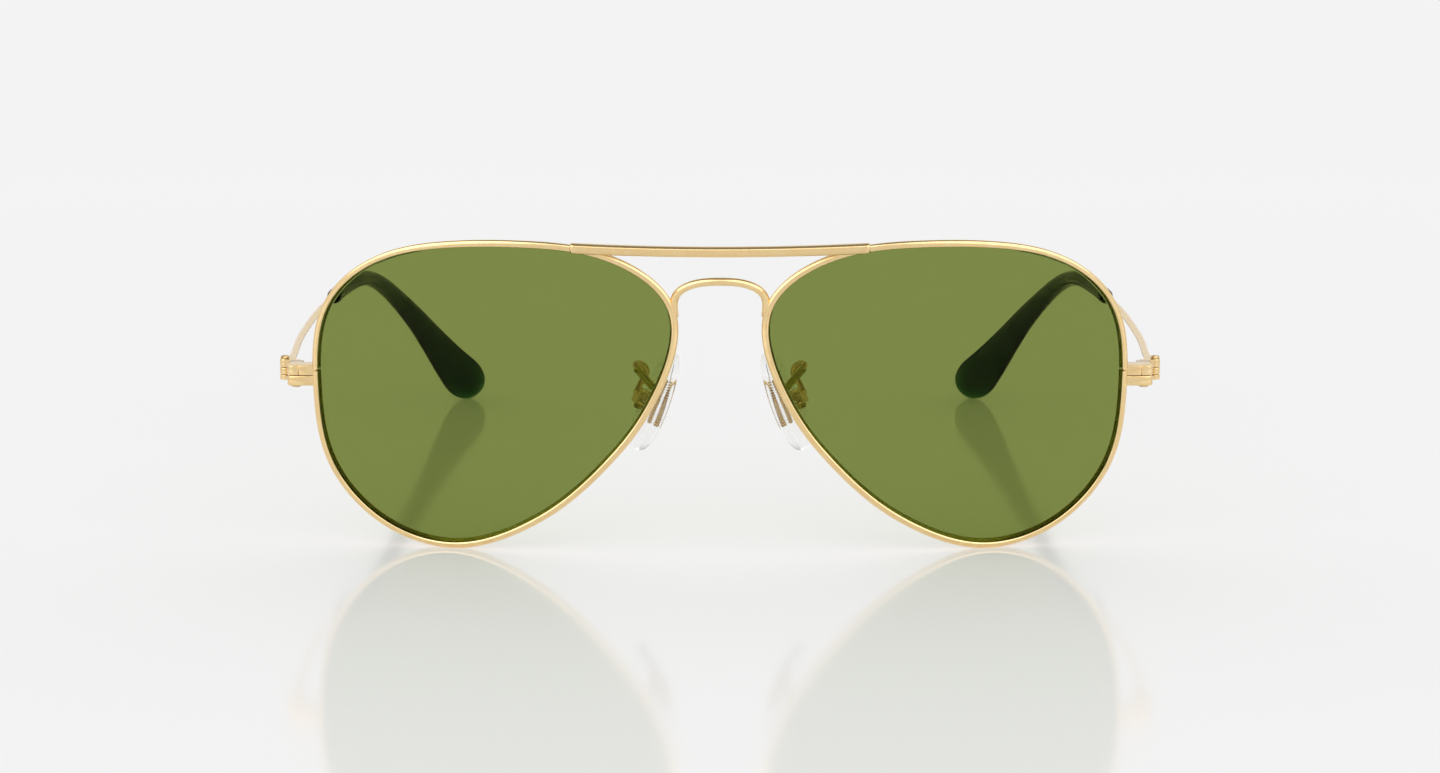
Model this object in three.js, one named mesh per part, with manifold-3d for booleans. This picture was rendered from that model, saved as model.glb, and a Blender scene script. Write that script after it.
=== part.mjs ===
// Wire-framed aviator sunglasses, standing open on the lower rims and the temple tips.
// Millimetres. +X is the wearer's left, +Y runs from the lenses back along the temples, +Z is up.
// The origin is at the middle of the bounding box, on the ground.
// Every sided piece is drawn once for the wearer's left (+X) and mirrored for the right.
import * as THREE from 'three';
import { mergeVertices } from 'three/addons/utils/BufferGeometryUtils.js';
import Module from 'manifold-3d';

const wasm = await Module();
wasm.setup();

// ---------------------------------------------------------------- driving sizes
const LENS_CENTRE_X = 36.3; // boxing centre of each lens from the middle of the frame
const LENS_SPHERE = 90; // radius of the lens front, a six-base curve
const WRAP = THREE.MathUtils.degToRad(7); // each lens turns back towards the temple
const LEAN = THREE.MathUtils.degToRad(8); // the front leans forward as it stands
const FRONT_Y = -8.0; // lens centres, before the whole is centred
const FRONT_Z = 25;
const MIDDLE_Y = 58.2; // middle of the depth, which becomes the origin
const STANDING_Z = -0.06; // brings the lowest edge of the rims to the ground

const RIM_HALF_WIDTH = 0.55; // across the eyewire, in the plane of the lens
const RIM_HALF_DEPTH = 0.95; // along the lens normal
const RIM_GAP = 0.3; // the eyewire is open here, between the two closing blocks
const GROOVE = { mouth: 0.58, floor: 0.16, reach: 0.12 };
const LENS_THICKNESS = 2.0;
const LENS_BEVEL = { inset: 0.68, half: 0.48, tip: 0.06 };
const SPLIT_HEIGHT = 3.0; // height of the closing joint above the lens centre

const BAR = { halfSpan: 23.3, endZ: 24.95, midZ: 24.33, halfHeight: 0.82, depth: 1.05, backY: 1.62 };
const BRIDGE_RADIUS = 0.65;

const BLOCK = {
  innerX: 64.2,
  outerX: 68.6,
  stepX: 66.4,
  frontY: -0.9,
  stepY: 2.6,
  backY: 4.2,
  bottomZ: 26.45,
  seamZ: 28.05,
  topZ: 29.65,
  bevel: 0.35,
};
const CLOSING_SCREW = { x: 67.4, y: 1.7, shank: 0.5, head: 0.95, headHeight: 0.5 };

const HINGE = { x: 69.6, y: 5.8, radius: 0.85, bore: 0.44, pin: 0.38 };
const HINGE_LEVELS = { lowBottom: 26.3, lowTop: 27.05, midBottom: 27.15, midTop: 28.25, highBottom: 28.35 };
const HINGE_PLATE = { innerX: 67.0, outerX: 68.6, frontY: 4.3, backY: 4.75 };
const SHANK_END = 3.2; // from the hinge axis to the ferrule
const FERRULE = { radius: 0.95, bore: 0.72, length: 5.2, boreDepth: 4.2 };

const WIRE_RADIUS = 0.6;
const SLEEVE_BORE = 0.78;
const WIRE_SIDES = 8;
const TIP_SIDES = 12;

const PAD = { length: 16.6, width: 8.2, thickness: 2.8 };
const PAD_CENTRE = new THREE.Vector3(10.4, 0.6, 23.8);
const PAD_LONG_AXIS = new THREE.Vector3(-6.1, 1.5, 15.4).normalize();
const PAD_SPLAY = THREE.MathUtils.degToRad(27);
const INSERT = { length: 7.4, width: 1.9, thickness: 0.55, level: 0.9 };
const LUG = { width: 1.3, height: 1.1, pivot: -2.5, bore: 0.4 };
const PAD_BOX = { height: 2.5, width: 2.2, depth: 2.0, wall: 0.55, back: 0.45 };
const PAD_SCREW = { shank: 0.33, head: 0.75, headHeight: 0.75 };
const ARM_RADIUS = 0.45;

const GOLD = { color: 0xe3c07d, roughness: 0.28, metalness: 1 };
const LENS_GREEN = { color: 0x7c884a, roughness: 0.05, metalness: 0, transparent: true, opacity: 0.4 };
const TIP_GREEN = { color: 0x0d2410, roughness: 0.2, metalness: 0 };
const PAD_CLEAR = { color: 0xf4f4f2, roughness: 0.15, metalness: 0, transparent: true, opacity: 0.4 };
const SCREW_STEEL = { color: 0xc9b07c, roughness: 0.3, metalness: 1 };

// ---------------------------------------------------------------- lens outline
// Control points of a closed cubic B-spline about the boxing centre: x towards the temple, y up.
const OUTLINE = [
  [-25, -1.75], [-19.5, -8.75], [-12.75, -16], [-5.5, -21.25], [5.75, -26.5], [18.5, -23.5], [27.75, -13],
  [28.5, -0.25], [28.5, 14], [18, 23], [5.5, 25], [-5.75, 25.25], [-18.5, 24.25], [-31.75, 15],
].map(([x, y]) => new THREE.Vector2(x, y));

/** Point of the outline at parameter t (one unit per control point) and its outward normal. */
function outlineAt(t) {
  const n = OUTLINE.length;
  const first = Math.floor(t);
  const s = t - first;
  const weights = [(1 - s) ** 3 / 6, (3 * s ** 3 - 6 * s ** 2 + 4) / 6, 0, s ** 3 / 6];
  weights[2] = 1 - weights[0] - weights[1] - weights[3];
  const slopes = [-((1 - s) ** 2) / 2, (3 * s ** 2 - 4 * s) / 2, 0, s ** 2 / 2];
  slopes[2] = -slopes[0] - slopes[1] - slopes[3];
  const point = new THREE.Vector2();
  const tangent = new THREE.Vector2();
  for (let k = 0; k < 4; k += 1) {
    const control = OUTLINE[(((first + k) % n) + n) % n];
    point.addScaledVector(control, weights[k]);
    tangent.addScaledVector(control, slopes[k]);
  }
  const speed = tangent.length();
  return { point, normal: new THREE.Vector2(tangent.y, -tangent.x).divideScalar(speed), speed };
}

/** Parameter where the temple side of the outline crosses a height. */
function outlineParameterAtHeight(height) {
  let low = 6;
  let high = 7;
  for (let step = 0; step < 30; step += 1) {
    const middle = (low + high) / 2;
    if (outlineAt(middle).point.y < height) low = middle;
    else high = middle;
  }
  return low;
}

/** Front-frame place of a point given on the left lens sphere: x, y on the lens, n along its normal. */
function onLensSphere(x, y, n) {
  const scale = (LENS_SPHERE + n) / LENS_SPHERE;
  const forward = Math.sqrt(LENS_SPHERE ** 2 - x ** 2 - y ** 2) * scale - LENS_SPHERE;
  const across = x * scale;
  return new THREE.Vector3(
    LENS_CENTRE_X + across * Math.cos(WRAP) + forward * Math.sin(WRAP),
    across * Math.sin(WRAP) - forward * Math.cos(WRAP),
    y * scale,
  );
}

/** The same for a point set r outside the outline at parameter t. */
function besideOutline(t, r, n) {
  const { point, normal } = outlineAt(t);
  return onLensSphere(point.x + normal.x * r, point.y + normal.y * r, n);
}

// ---------------------------------------------------------------- mesh helpers
/** Turns every face of a closed mesh outwards, whichever way its rings were laid. */
function outward(points, faces) {
  let volume = 0;
  for (let i = 0; i < faces.length; i += 3) {
    const [a, b, c] = [points[faces[i]], points[faces[i + 1]], points[faces[i + 2]]];
    volume += a.dot(b.clone().cross(c));
  }
  const turned = volume < 0 ? faces.slice().reverse() : faces;
  const geometry = new THREE.BufferGeometry().setFromPoints(points);
  geometry.setIndex(turned);
  return geometry;
}

/** Walls between equal rings of points, with both ends closed by the given cap triangles. */
function loft(rings, caps) {
  const count = rings[0].length;
  const last = (rings.length - 1) * count;
  const faces = [];
  for (let i = 0; i + 1 < rings.length; i += 1) {
    for (let j = 0; j < count; j += 1) {
      const a = i * count + j;
      const b = i * count + ((j + 1) % count);
      faces.push(a, b, b + count, a, b + count, a + count);
    }
  }
  for (const [a, b, c] of caps) {
    faces.push(a, c, b, last + a, last + b, last + c);
  }
  return outward(rings.flat(), faces);
}

/** Cap triangles for a convex ring. */
function fan(count) {
  return Array.from({ length: count - 2 }, (_, i) => [0, i + 1, i + 2]);
}

/** Elliptical ring round a centre, in the plane of two unit directions. */
function ellipseRing(centre, across, up, halfAcross, halfUp, sides) {
  return Array.from({ length: sides }, (_, i) => {
    const angle = (2 * Math.PI * i) / sides;
    return centre.clone()
      .addScaledVector(across, halfAcross * Math.cos(angle))
      .addScaledVector(up, halfUp * Math.sin(angle));
  });
}

/** Round or oval rod along a curve; up follows the vertical as closely as the curve allows. */
function rod(curve, steps, from, to, radius, sides) {
  const rings = [];
  for (let i = 0; i <= steps; i += 1) {
    const { centre, across, up } = station(curve, from + ((to - from) * i) / steps);
    rings.push(ellipseRing(centre, across, up, radius, radius, sides));
  }
  return loft(rings, fan(sides));
}

/** Centre and cross directions of a curve at a share of its length. */
function station(curve, share) {
  const centre = curve.getPointAt(share);
  const along = curve.getTangentAt(share);
  const side = Math.abs(along.z) > 0.95 ? new THREE.Vector3(0, 1, 0) : new THREE.Vector3(0, 0, 1);
  const across = new THREE.Vector3().crossVectors(along, side).normalize();
  const up = new THREE.Vector3().crossVectors(across, along).normalize();
  return { centre, across, up };
}

function solidOf(geometry) {
  const bare = geometry.clone();
  bare.deleteAttribute('normal');
  bare.deleteAttribute('uv');
  const merged = mergeVertices(bare, 1e-4);
  return new wasm.Manifold(new wasm.Mesh({
    numProp: 3,
    vertProperties: new Float32Array(merged.attributes.position.array),
    triVerts: new Uint32Array(merged.index.array),
  }));
}

function geometryOf(solid) {
  const { vertProperties, triVerts } = solid.getMesh();
  const geometry = new THREE.BufferGeometry();
  geometry.setAttribute('position', new THREE.BufferAttribute(vertProperties, 3));
  geometry.setIndex(new THREE.BufferAttribute(triVerts, 1));
  return geometry;
}

const joined = (...parts) => geometryOf(parts.map(solidOf).reduce((a, b) => a.add(b)));
const cut = (part, ...tools) => {
  return geometryOf(tools.map(solidOf).reduce((a, b) => a.subtract(b), solidOf(part)));
};

/** Upright prism from a plan outline between two heights. */
function prism(outline, bottom, top) {
  const shape = new THREE.Shape(outline.map(([x, y]) => new THREE.Vector2(x, y)));
  const extruded = new THREE.ExtrudeGeometry(shape, { depth: top - bottom, bevelEnabled: false });
  return extruded.translate(0, 0, bottom);
}

function box(low, high) {
  const size = new THREE.Vector3().subVectors(high, low);
  const middle = new THREE.Vector3().addVectors(low, high).multiplyScalar(0.5);
  return new THREE.BoxGeometry(size.x, size.y, size.z).translate(middle.x, middle.y, middle.z);
}

/** Upright cylinder at x, y between two heights. */
function pin(x, y, radius, bottom, top, sides = 14) {
  return new THREE.CylinderGeometry(radius, radius, top - bottom, sides)
    .rotateX(Math.PI / 2)
    .translate(x, y, (bottom + top) / 2);
}

/** Slotted screw standing on z = 0 with its head downwards from 0 and its shank rising to length. */
function slottedScrew(shank, head, headHeight, length) {
  const profile = [
    [0, -headHeight], [head * 0.75, -headHeight], [head, -headHeight * 0.6], [head, 0],
    [shank, 0], [shank, length - shank * 0.4], [shank * 0.6, length], [0, length],
  ].map(([r, z]) => new THREE.Vector2(r, z));
  const body = new THREE.LatheGeometry(profile, 12).rotateX(Math.PI / 2);
  const half = head * 0.16;
  const slot = box(
    new THREE.Vector3(-head * 1.2, -half, -headHeight * 1.5),
    new THREE.Vector3(head * 1.2, half, -headHeight * 0.5),
  );
  return cut(body, slot);
}

/** The wearer's right piece from the left one. */
function mirrored(geometry) {
  const copy = geometry.index ? geometry.toNonIndexed() : geometry.clone();
  const position = copy.attributes.position;
  const flat = new Float32Array(position.array.length);
  for (let i = 0; i < position.count; i += 3) {
    [0, 2, 1].forEach((from, to) => {
      flat[(i + to) * 3] = -position.getX(i + from);
      flat[(i + to) * 3 + 1] = position.getY(i + from);
      flat[(i + to) * 3 + 2] = position.getZ(i + from);
    });
  }
  const result = new THREE.BufferGeometry();
  result.setAttribute('position', new THREE.BufferAttribute(flat, 3));
  return mergeVertices(result, 1e-5);
}

const sunglasses = new THREE.Group();
const whole = new THREE.Group();
const front = new THREE.Group();
whole.position.set(0, -MIDDLE_Y, STANDING_Z);
front.position.set(0, FRONT_Y, FRONT_Z);
front.rotation.x = LEAN;
whole.add(front);
sunglasses.add(whole);

function addPiece(parent, name, geometry, look) {
  const mesh = new THREE.Mesh(geometry, new THREE.MeshStandardMaterial(look));
  mesh.name = name;
  parent.add(mesh);
}

function addPair(parent, name, geometry, look) {
  addPiece(parent, `${name}_left`, geometry, look);
  addPiece(parent, `${name}_right`, mirrored(geometry), look);
}

// ---------------------------------------------------------------- rims and lenses
const RIM_STEPS = 52;
const splitAt = outlineParameterAtHeight(SPLIT_HEIGHT);
const halfGap = RIM_GAP / 2 / outlineAt(splitAt).speed;

/** Sweeps a section of [outward, forward] points along the eyewire, open at the closing joint. */
function eyewire(section, from, to, steps) {
  const rings = [];
  for (let i = 0; i <= steps; i += 1) {
    const t = from + ((to - from) * i) / steps;
    rings.push(section.map(([r, n]) => besideOutline(t, r, n)));
  }
  const flat = section.map(([r, n]) => new THREE.Vector2(r, n));
  return loft(rings, THREE.ShapeUtils.triangulateShape(flat, []));
}

function rim() {
  const w = RIM_HALF_WIDTH;
  const d = RIM_HALF_DEPTH;
  const section = [
    [w, -d * 0.45], [w, d * 0.45], [w * 0.5, d], [-w * 0.5, d], [-w, d * 0.75], [-w, GROOVE.mouth],
    [GROOVE.reach, GROOVE.floor], [GROOVE.reach, -GROOVE.floor],
    [-w, -GROOVE.mouth], [-w, -d * 0.75], [-w * 0.5, -d], [w * 0.5, -d],
  ];
  return eyewire(section, splitAt + halfGap, splitAt + OUTLINE.length - halfGap, RIM_STEPS);
}

/** A slightly fatter stretch of plain eyewire, used to hollow whatever is soldered to the rim. */
function rimClearance(from, to, steps, gap) {
  const w = RIM_HALF_WIDTH + gap;
  const d = RIM_HALF_DEPTH + gap;
  const section = [
    [w, -d * 0.5], [w, d * 0.5], [w * 0.5, d], [-w * 1.6, d], [-w * 1.6, -d], [w * 0.5, -d],
  ];
  return eyewire(section, from, to, steps);
}

function lens() {
  const half = LENS_THICKNESS / 2;
  const { inset, half: bevel, tip } = LENS_BEVEL;
  const edge = [[-inset, half], [-inset, bevel], [-tip, 0], [-inset, -bevel], [-inset, -half]];
  const shares = [0.45];
  const ringAt = (place) => {
    return Array.from({ length: RIM_STEPS }, (_, i) => place((i * OUTLINE.length) / RIM_STEPS));
  };
  const scaled = (share, n) => ringAt((t) => {
    const { point } = outlineAt(t);
    return onLensSphere(point.x * share, point.y * share, n);
  });
  const rings = [
    ...shares.map((share) => scaled(share, half)),
    ...edge.map(([r, n]) => ringAt((t) => besideOutline(t, r, n))),
    ...shares.slice().reverse().map((share) => scaled(share, -half)),
  ];
  return loft(rings, fan(RIM_STEPS));
}

// ---------------------------------------------------------------- brow bar and bridge
function browBar() {
  const steps = 16;
  const rings = [];
  for (let i = 0; i <= steps; i += 1) {
    const share = (2 * i) / steps - 1;
    const x = BAR.halfSpan * share;
    const z = BAR.midZ + (BAR.endZ - BAR.midZ) * share ** 2;
    const taper = i === 0 || i === steps ? 0.55 : 1;
    const h = BAR.halfHeight * taper;
    const d = BAR.depth * taper;
    rings.push([
      [0, h], [-d * 0.55, h * 0.86], [-d * 0.92, h * 0.4], [-d, 0],
      [-d * 0.92, -h * 0.4], [-d * 0.55, -h * 0.86], [0, -h],
    ].map(([y, up]) => new THREE.Vector3(x, BAR.backY + y, z + up)));
  }
  return loft(rings, fan(7));
}

function bridge() {
  const half = [
    [3.2, 1.6, 19.2], [5.3, 1.85, 18.45], [6.6, 2.1, 17.4], [7.2, 2.25, 16.2], [7.35, 2.3, 14.9],
  ];
  const foot = [7.3, 2.3, 13.5];
  const right = [...half, foot].reverse().map(([x, y, z]) => new THREE.Vector3(-x, y, z));
  const left = [...half, foot].map(([x, y, z]) => new THREE.Vector3(x, y, z));
  const curve = new THREE.CatmullRomCurve3([...right, new THREE.Vector3(0, 1.5, 19.45), ...left]);
  const arch = rod(curve, 30, 0, 1, BRIDGE_RADIUS, 8);
  const nasal = [11.2, 12.9];
  const clearance = rimClearance(nasal[0], nasal[1], 20, 0.06);
  return cut(arch, clearance, mirrored(clearance));
}

// ---------------------------------------------------------------- closing blocks and their screw
/** The stretch of rim at the blocks, in the frame of the whole. */
function rimAtBlocks() {
  const geometry = rimClearance(splitAt - 0.6, splitAt + 0.6, 10, 0.08);
  return geometry.rotateX(LEAN).translate(0, FRONT_Y, FRONT_Z);
}

function closingBlock(bottom, top) {
  const { innerX, outerX, stepX, frontY, stepY, backY, bevel } = BLOCK;
  const outline = [
    [innerX, frontY], [outerX - bevel * 2, frontY], [outerX - bevel * 0.6, frontY + bevel * 0.6],
    [outerX, frontY + bevel * 2], [outerX, backY], [stepX, backY], [stepX, stepY], [innerX, stepY],
  ];
  const hole = pin(CLOSING_SCREW.x, CLOSING_SCREW.y, CLOSING_SCREW.shank + 0.06, bottom - 1, top + 1);
  return cut(prism(outline, bottom, top), hole, rimAtBlocks());
}

function closingScrew() {
  const { x, y, shank, head, headHeight } = CLOSING_SCREW;
  const gap = 0.05;
  const length = BLOCK.topZ - BLOCK.bottomZ + 0.15;
  return slottedScrew(shank, head, headHeight, length).translate(x, y, BLOCK.bottomZ - gap);
}

// ---------------------------------------------------------------- hinges
/** Knuckle with a web that reaches forwards to the closing blocks. */
function frontKnuckle(bottom, top) {
  const { x, y, radius } = HINGE;
  const { innerX, outerX, frontY, backY } = HINGE_PLATE;
  const web = [[innerX, frontY], [outerX, frontY], [x + radius, y], [x, y + radius], [innerX, backY]];
  return joined(prism(web, bottom, top), pin(x, y, radius, bottom, top));
}

function hingeBracket() {
  const { lowBottom, lowTop, highBottom } = HINGE_LEVELS;
  const { innerX, outerX, frontY, backY } = HINGE_PLATE;
  const plate = box(
    new THREE.Vector3(innerX, frontY, lowBottom),
    new THREE.Vector3(outerX, backY, BLOCK.topZ),
  );
  const bracket = joined(plate, frontKnuckle(lowBottom, lowTop), frontKnuckle(highBottom, BLOCK.topZ));
  return cut(bracket, pin(HINGE.x, HINGE.y, HINGE.bore, lowBottom - 1, BLOCK.topZ + 1));
}

function hingeScrew() {
  const gap = 0.05;
  const length = BLOCK.topZ - HINGE_LEVELS.lowBottom;
  return slottedScrew(HINGE.pin, 0.72, 0.4, length)
    .rotateX(Math.PI)
    .translate(HINGE.x, HINGE.y, BLOCK.topZ + gap);
}

const templeZ = (HINGE_LEVELS.midBottom + HINGE_LEVELS.midTop) / 2;

/** Middle knuckle, flat shank and round ferrule in one piece; the temple wire is brazed in the ferrule. */
function templeHinge() {
  const { midBottom, midTop } = HINGE_LEVELS;
  const { x, y, radius, bore } = HINGE;
  const shank = box(
    new THREE.Vector3(x - 0.55, y, midBottom),
    new THREE.Vector3(x + 0.55, y + SHANK_END + 0.4, midTop),
  );
  const cone = [
    [0, SHANK_END], [FERRULE.radius * 0.75, SHANK_END], [FERRULE.radius, SHANK_END + 0.8],
    [FERRULE.radius, SHANK_END + FERRULE.length], [FERRULE.bore, SHANK_END + FERRULE.length],
    [FERRULE.bore, SHANK_END + FERRULE.length - FERRULE.boreDepth],
    [0, SHANK_END + FERRULE.length - FERRULE.boreDepth],
  ].map(([r, along]) => new THREE.Vector2(r, along));
  const ferrule = new THREE.LatheGeometry(cone, 12).translate(x, y, templeZ);
  const body = joined(shank, pin(x, y, radius, midBottom, midTop), ferrule);
  return cut(body, pin(x, y, bore, midBottom - 1, midTop + 1));
}

// ---------------------------------------------------------------- temples
const templeRoute = new THREE.CatmullRomCurve3([
  [HINGE.x, HINGE.y + SHANK_END + 1.4, templeZ], [69.75, 20, 27.75], [70.2, 32, 27.95],
  [70.15, 45, 28.15], [69.6, 58, 28.45], [68.4, 70, 28.85], [67.2, 79, 29.2], [65.4, 88, 29.35],
  [63.9, 95, 28.3], [62.1, 101, 26], [60, 107, 22.5], [57.2, 112.5, 17.9], [54.2, 117.5, 12.6],
  [51, 121.8, 7.3], [48, 125.4, 2.9], [46.9, 126.8, 1],
].map(([x, y, z]) => new THREE.Vector3(x, y, z)), false, 'centripetal');
const routeLength = templeRoute.getLength();
const SLEEVE_START = 61 / routeLength; // share of the route where the tip sleeve begins
const WIRE_END = 0.9;
const TIP_TURN = THREE.MathUtils.degToRad(30); // the flat inner face of each tip turns a little forwards

/** Half height, half thickness and turn of the tip's section at a share of its own length. */
function tipSection(share) {
  const width = new THREE.CubicBezierCurve(
    new THREE.Vector2(0, 1.35),
    new THREE.Vector2(0.5, 1.35),
    new THREE.Vector2(0.68, 1.5),
    new THREE.Vector2(1, 4.7),
  );
  let low = 0;
  let high = 1;
  for (let step = 0; step < 24; step += 1) {
    const middle = (low + high) / 2;
    if (width.getPoint(middle).x < share) low = middle;
    else high = middle;
  }
  const end = share > 0.9 ? Math.sqrt(Math.max(0, 1 - ((share - 0.9) / 0.105) ** 2)) : 1;
  const turn = TIP_TURN * share ** 2;
  return { height: width.getPoint(low).y * end, thickness: (1.35 + 0.2 * share) * end, turn };
}

function templeTip() {
  const steps = 24;
  const at = (share) => station(templeRoute, SLEEVE_START + (1 - SLEEVE_START) * share);
  const outer = [];
  for (let i = 0; i <= steps; i += 1) {
    const share = Math.sin((Math.PI / 2) * (i / steps)) ** 1.15;
    const { height, thickness, turn } = tipSection(share);
    const { centre, across, up } = at(share);
    const along = new THREE.Vector3().crossVectors(across, up);
    across.applyAxisAngle(along, turn);
    up.applyAxisAngle(along, turn);
    outer.push(ellipseRing(centre, across, up, thickness, height, TIP_SIDES));
  }
  const inner = [];
  const boreEnd = (WIRE_END + 0.02 - SLEEVE_START) / (1 - SLEEVE_START);
  const boreSteps = 18;
  for (let i = boreSteps; i >= 0; i -= 1) {
    const { centre, across, up } = at((boreEnd * i) / boreSteps);
    inner.push(ellipseRing(centre, across, up, SLEEVE_BORE, SLEEVE_BORE, TIP_SIDES));
  }
  return loft([...inner, ...outer], fan(TIP_SIDES));
}

// ---------------------------------------------------------------- nose pads
const padFrame = (() => {
  const nose = new THREE.Vector3(-Math.cos(PAD_SPLAY), Math.sin(PAD_SPLAY), 0);
  nose.addScaledVector(PAD_LONG_AXIS, -nose.dot(PAD_LONG_AXIS)).normalize();
  const wide = new THREE.Vector3().crossVectors(nose, PAD_LONG_AXIS);
  return new THREE.Matrix4().makeBasis(wide, nose, PAD_LONG_AXIS).setPosition(PAD_CENTRE);
})();

/** Teardrop pad: x across, y towards the nose, z along it; flat back, crowned face, slot for its insert. */
function nosePad() {
  const steps = 10;
  const sides = 16;
  const rings = [];
  for (let i = 0; i <= steps; i += 1) {
    const angle = -Math.PI / 2 + (Math.PI * (i + 0.35)) / (steps + 0.7);
    const z = (PAD.length / 2) * Math.sin(angle);
    const girth = Math.cos(angle) ** 0.8;
    const lean = 1 - (0.16 * z) / (PAD.length / 2);
    const halfWidth = (PAD.width / 2) * girth * lean;
    const ring = Array.from({ length: sides }, (_, j) => {
      const turn = (2 * Math.PI * j) / sides;
      const side = Math.sin(turn) > 0 ? 0.62 : 0.38;
      return new THREE.Vector3(
        halfWidth * Math.cos(turn), PAD.thickness * side * girth ** 0.7 * Math.sin(turn), z);
    });
    rings.push(ring);
  }
  const gap = 0.15;
  const pocket = box(
    new THREE.Vector3(-INSERT.width / 2 - gap, -PAD.thickness, -INSERT.length / 2 - gap),
    new THREE.Vector3(
      INSERT.width / 2 + gap,
      INSERT.level + INSERT.thickness / 2 + gap,
      INSERT.length / 2 + gap,
    ),
  );
  return cut(loft(rings, fan(sides)), pocket).applyMatrix4(padFrame);
}

/** Metal plate inside the pad with a pierced lug that stands out of its back. */
function padInsert() {
  const halfLength = INSERT.length / 2;
  const plate = box(
    new THREE.Vector3(-INSERT.width / 2, INSERT.level - INSERT.thickness / 2, -halfLength),
    new THREE.Vector3(INSERT.width / 2, INSERT.level + INSERT.thickness / 2, halfLength),
  );
  const lug = box(
    new THREE.Vector3(-LUG.width / 2, LUG.pivot - 0.6, -LUG.height / 2),
    new THREE.Vector3(LUG.width / 2, INSERT.level, LUG.height / 2),
  );
  return cut(joined(plate, lug), pin(0, LUG.pivot, LUG.bore, -2, 2, 14)).applyMatrix4(padFrame);
}

/** Small open box that the lug turns in, held by a screw through its top and bottom walls. */
function padBox() {
  const { height, width, depth, wall, back } = PAD_BOX;
  const nose = LUG.pivot + depth / 2 - 0.15;
  const body = box(
    new THREE.Vector3(-width / 2, LUG.pivot - depth / 2, -height / 2),
    new THREE.Vector3(width / 2, nose, height / 2),
  );
  const slot = box(
    new THREE.Vector3(-width, LUG.pivot - depth / 2 + back - 0.2, -height / 2 + wall),
    new THREE.Vector3(width, nose + 1, height / 2 - wall),
  );
  return cut(body, slot, pin(0, LUG.pivot, PAD_SCREW.shank + 0.05, -3, 3, 14)).applyMatrix4(padFrame);
}

function padScrew() {
  return slottedScrew(PAD_SCREW.shank, PAD_SCREW.head, PAD_SCREW.headHeight, PAD_BOX.height)
    .translate(0, LUG.pivot, -PAD_BOX.height / 2 - 0.05)
    .applyMatrix4(padFrame);
}

/** Foot soldered along the rim, then a wire that loops up, back and down to the pad box. */
function padArm() {
  const boxBack = new THREE.Vector3(0, LUG.pivot - PAD_BOX.depth / 2 - 0.5, 0.3).applyMatrix4(padFrame);
  const route = [
    [10.2, -5.0, 26.6], [11.0, -4.2, 27.3], [12.1, -3.2, 28.3], [13.0, -2.0, 29.1], [13.3, -0.6, 29.5],
    [12.8, 0.8, 29.2], [12.3, 1.6, 28.2], [12.9, 1.6, 27.0],
  ].map(([x, y, z]) => new THREE.Vector3(x, y, z));
  const curve = new THREE.CatmullRomCurve3([...route, boxBack]);
  const gap = 0.04;
  const clearance = box(
    new THREE.Vector3(
      -PAD_BOX.width / 2 - gap,
      LUG.pivot - PAD_BOX.depth / 2 - gap,
      -PAD_BOX.height / 2 - gap,
    ),
    new THREE.Vector3(PAD_BOX.width / 2 + gap, LUG.pivot + PAD_BOX.depth, PAD_BOX.height / 2 + gap),
  ).applyMatrix4(padFrame);
  return cut(rod(curve, 26, 0, 1, ARM_RADIUS, 8), clearance);
}

// ---------------------------------------------------------------- the whole
addPair(front, 'rim', rim(), GOLD);
addPair(front, 'lens', lens(), LENS_GREEN);
addPiece(front, 'brow_bar', browBar(), GOLD);
addPiece(front, 'bridge', bridge(), GOLD);

const seamGap = 0.05;
addPair(whole, 'closing_block_lower', closingBlock(BLOCK.bottomZ, BLOCK.seamZ - seamGap), GOLD);
addPair(whole, 'closing_block_upper', closingBlock(BLOCK.seamZ + seamGap, BLOCK.topZ), GOLD);
addPair(whole, 'closing_screw', closingScrew(), SCREW_STEEL);
addPair(whole, 'hinge_bracket', hingeBracket(), GOLD);
addPair(whole, 'hinge_screw', hingeScrew(), SCREW_STEEL);
addPair(whole, 'temple_hinge', templeHinge(), GOLD);
addPair(whole, 'temple_wire', rod(templeRoute, 40, 0, WIRE_END, WIRE_RADIUS, WIRE_SIDES), GOLD);
addPair(whole, 'temple_tip', templeTip(), TIP_GREEN);
addPair(whole, 'pad_arm', padArm(), GOLD);
addPair(whole, 'pad_box', padBox(), GOLD);
addPair(whole, 'pad_screw', padScrew(), SCREW_STEEL);
addPair(whole, 'pad_insert', padInsert(), GOLD);
addPair(whole, 'nose_pad', nosePad(), PAD_CLEAR);

export default sunglasses;
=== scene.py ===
"""Looks of a pair of wire-framed aviator sunglasses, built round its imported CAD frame."""

import logging
import math
from collections.abc import Callable, Sequence
from dataclasses import dataclass, field
from enum import Enum

import bmesh
import bpy
from mathutils import Matrix, Vector


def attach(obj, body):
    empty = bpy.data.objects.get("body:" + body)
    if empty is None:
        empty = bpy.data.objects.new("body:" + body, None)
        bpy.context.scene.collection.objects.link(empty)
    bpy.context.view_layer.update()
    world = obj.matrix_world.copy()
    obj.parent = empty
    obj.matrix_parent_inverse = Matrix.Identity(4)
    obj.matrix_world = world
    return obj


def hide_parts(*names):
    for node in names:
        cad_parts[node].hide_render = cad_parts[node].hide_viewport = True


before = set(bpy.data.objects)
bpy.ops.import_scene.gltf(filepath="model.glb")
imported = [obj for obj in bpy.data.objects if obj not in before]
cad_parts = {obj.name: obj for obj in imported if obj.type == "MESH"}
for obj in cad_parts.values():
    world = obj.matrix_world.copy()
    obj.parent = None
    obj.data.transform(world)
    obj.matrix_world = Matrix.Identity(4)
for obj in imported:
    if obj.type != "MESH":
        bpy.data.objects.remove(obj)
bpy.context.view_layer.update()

LOG = logging.getLogger("sunglasses")
MM = 0.001
MIDDLE_Y = 58.2
STANDING_Z = -0.06
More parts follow.
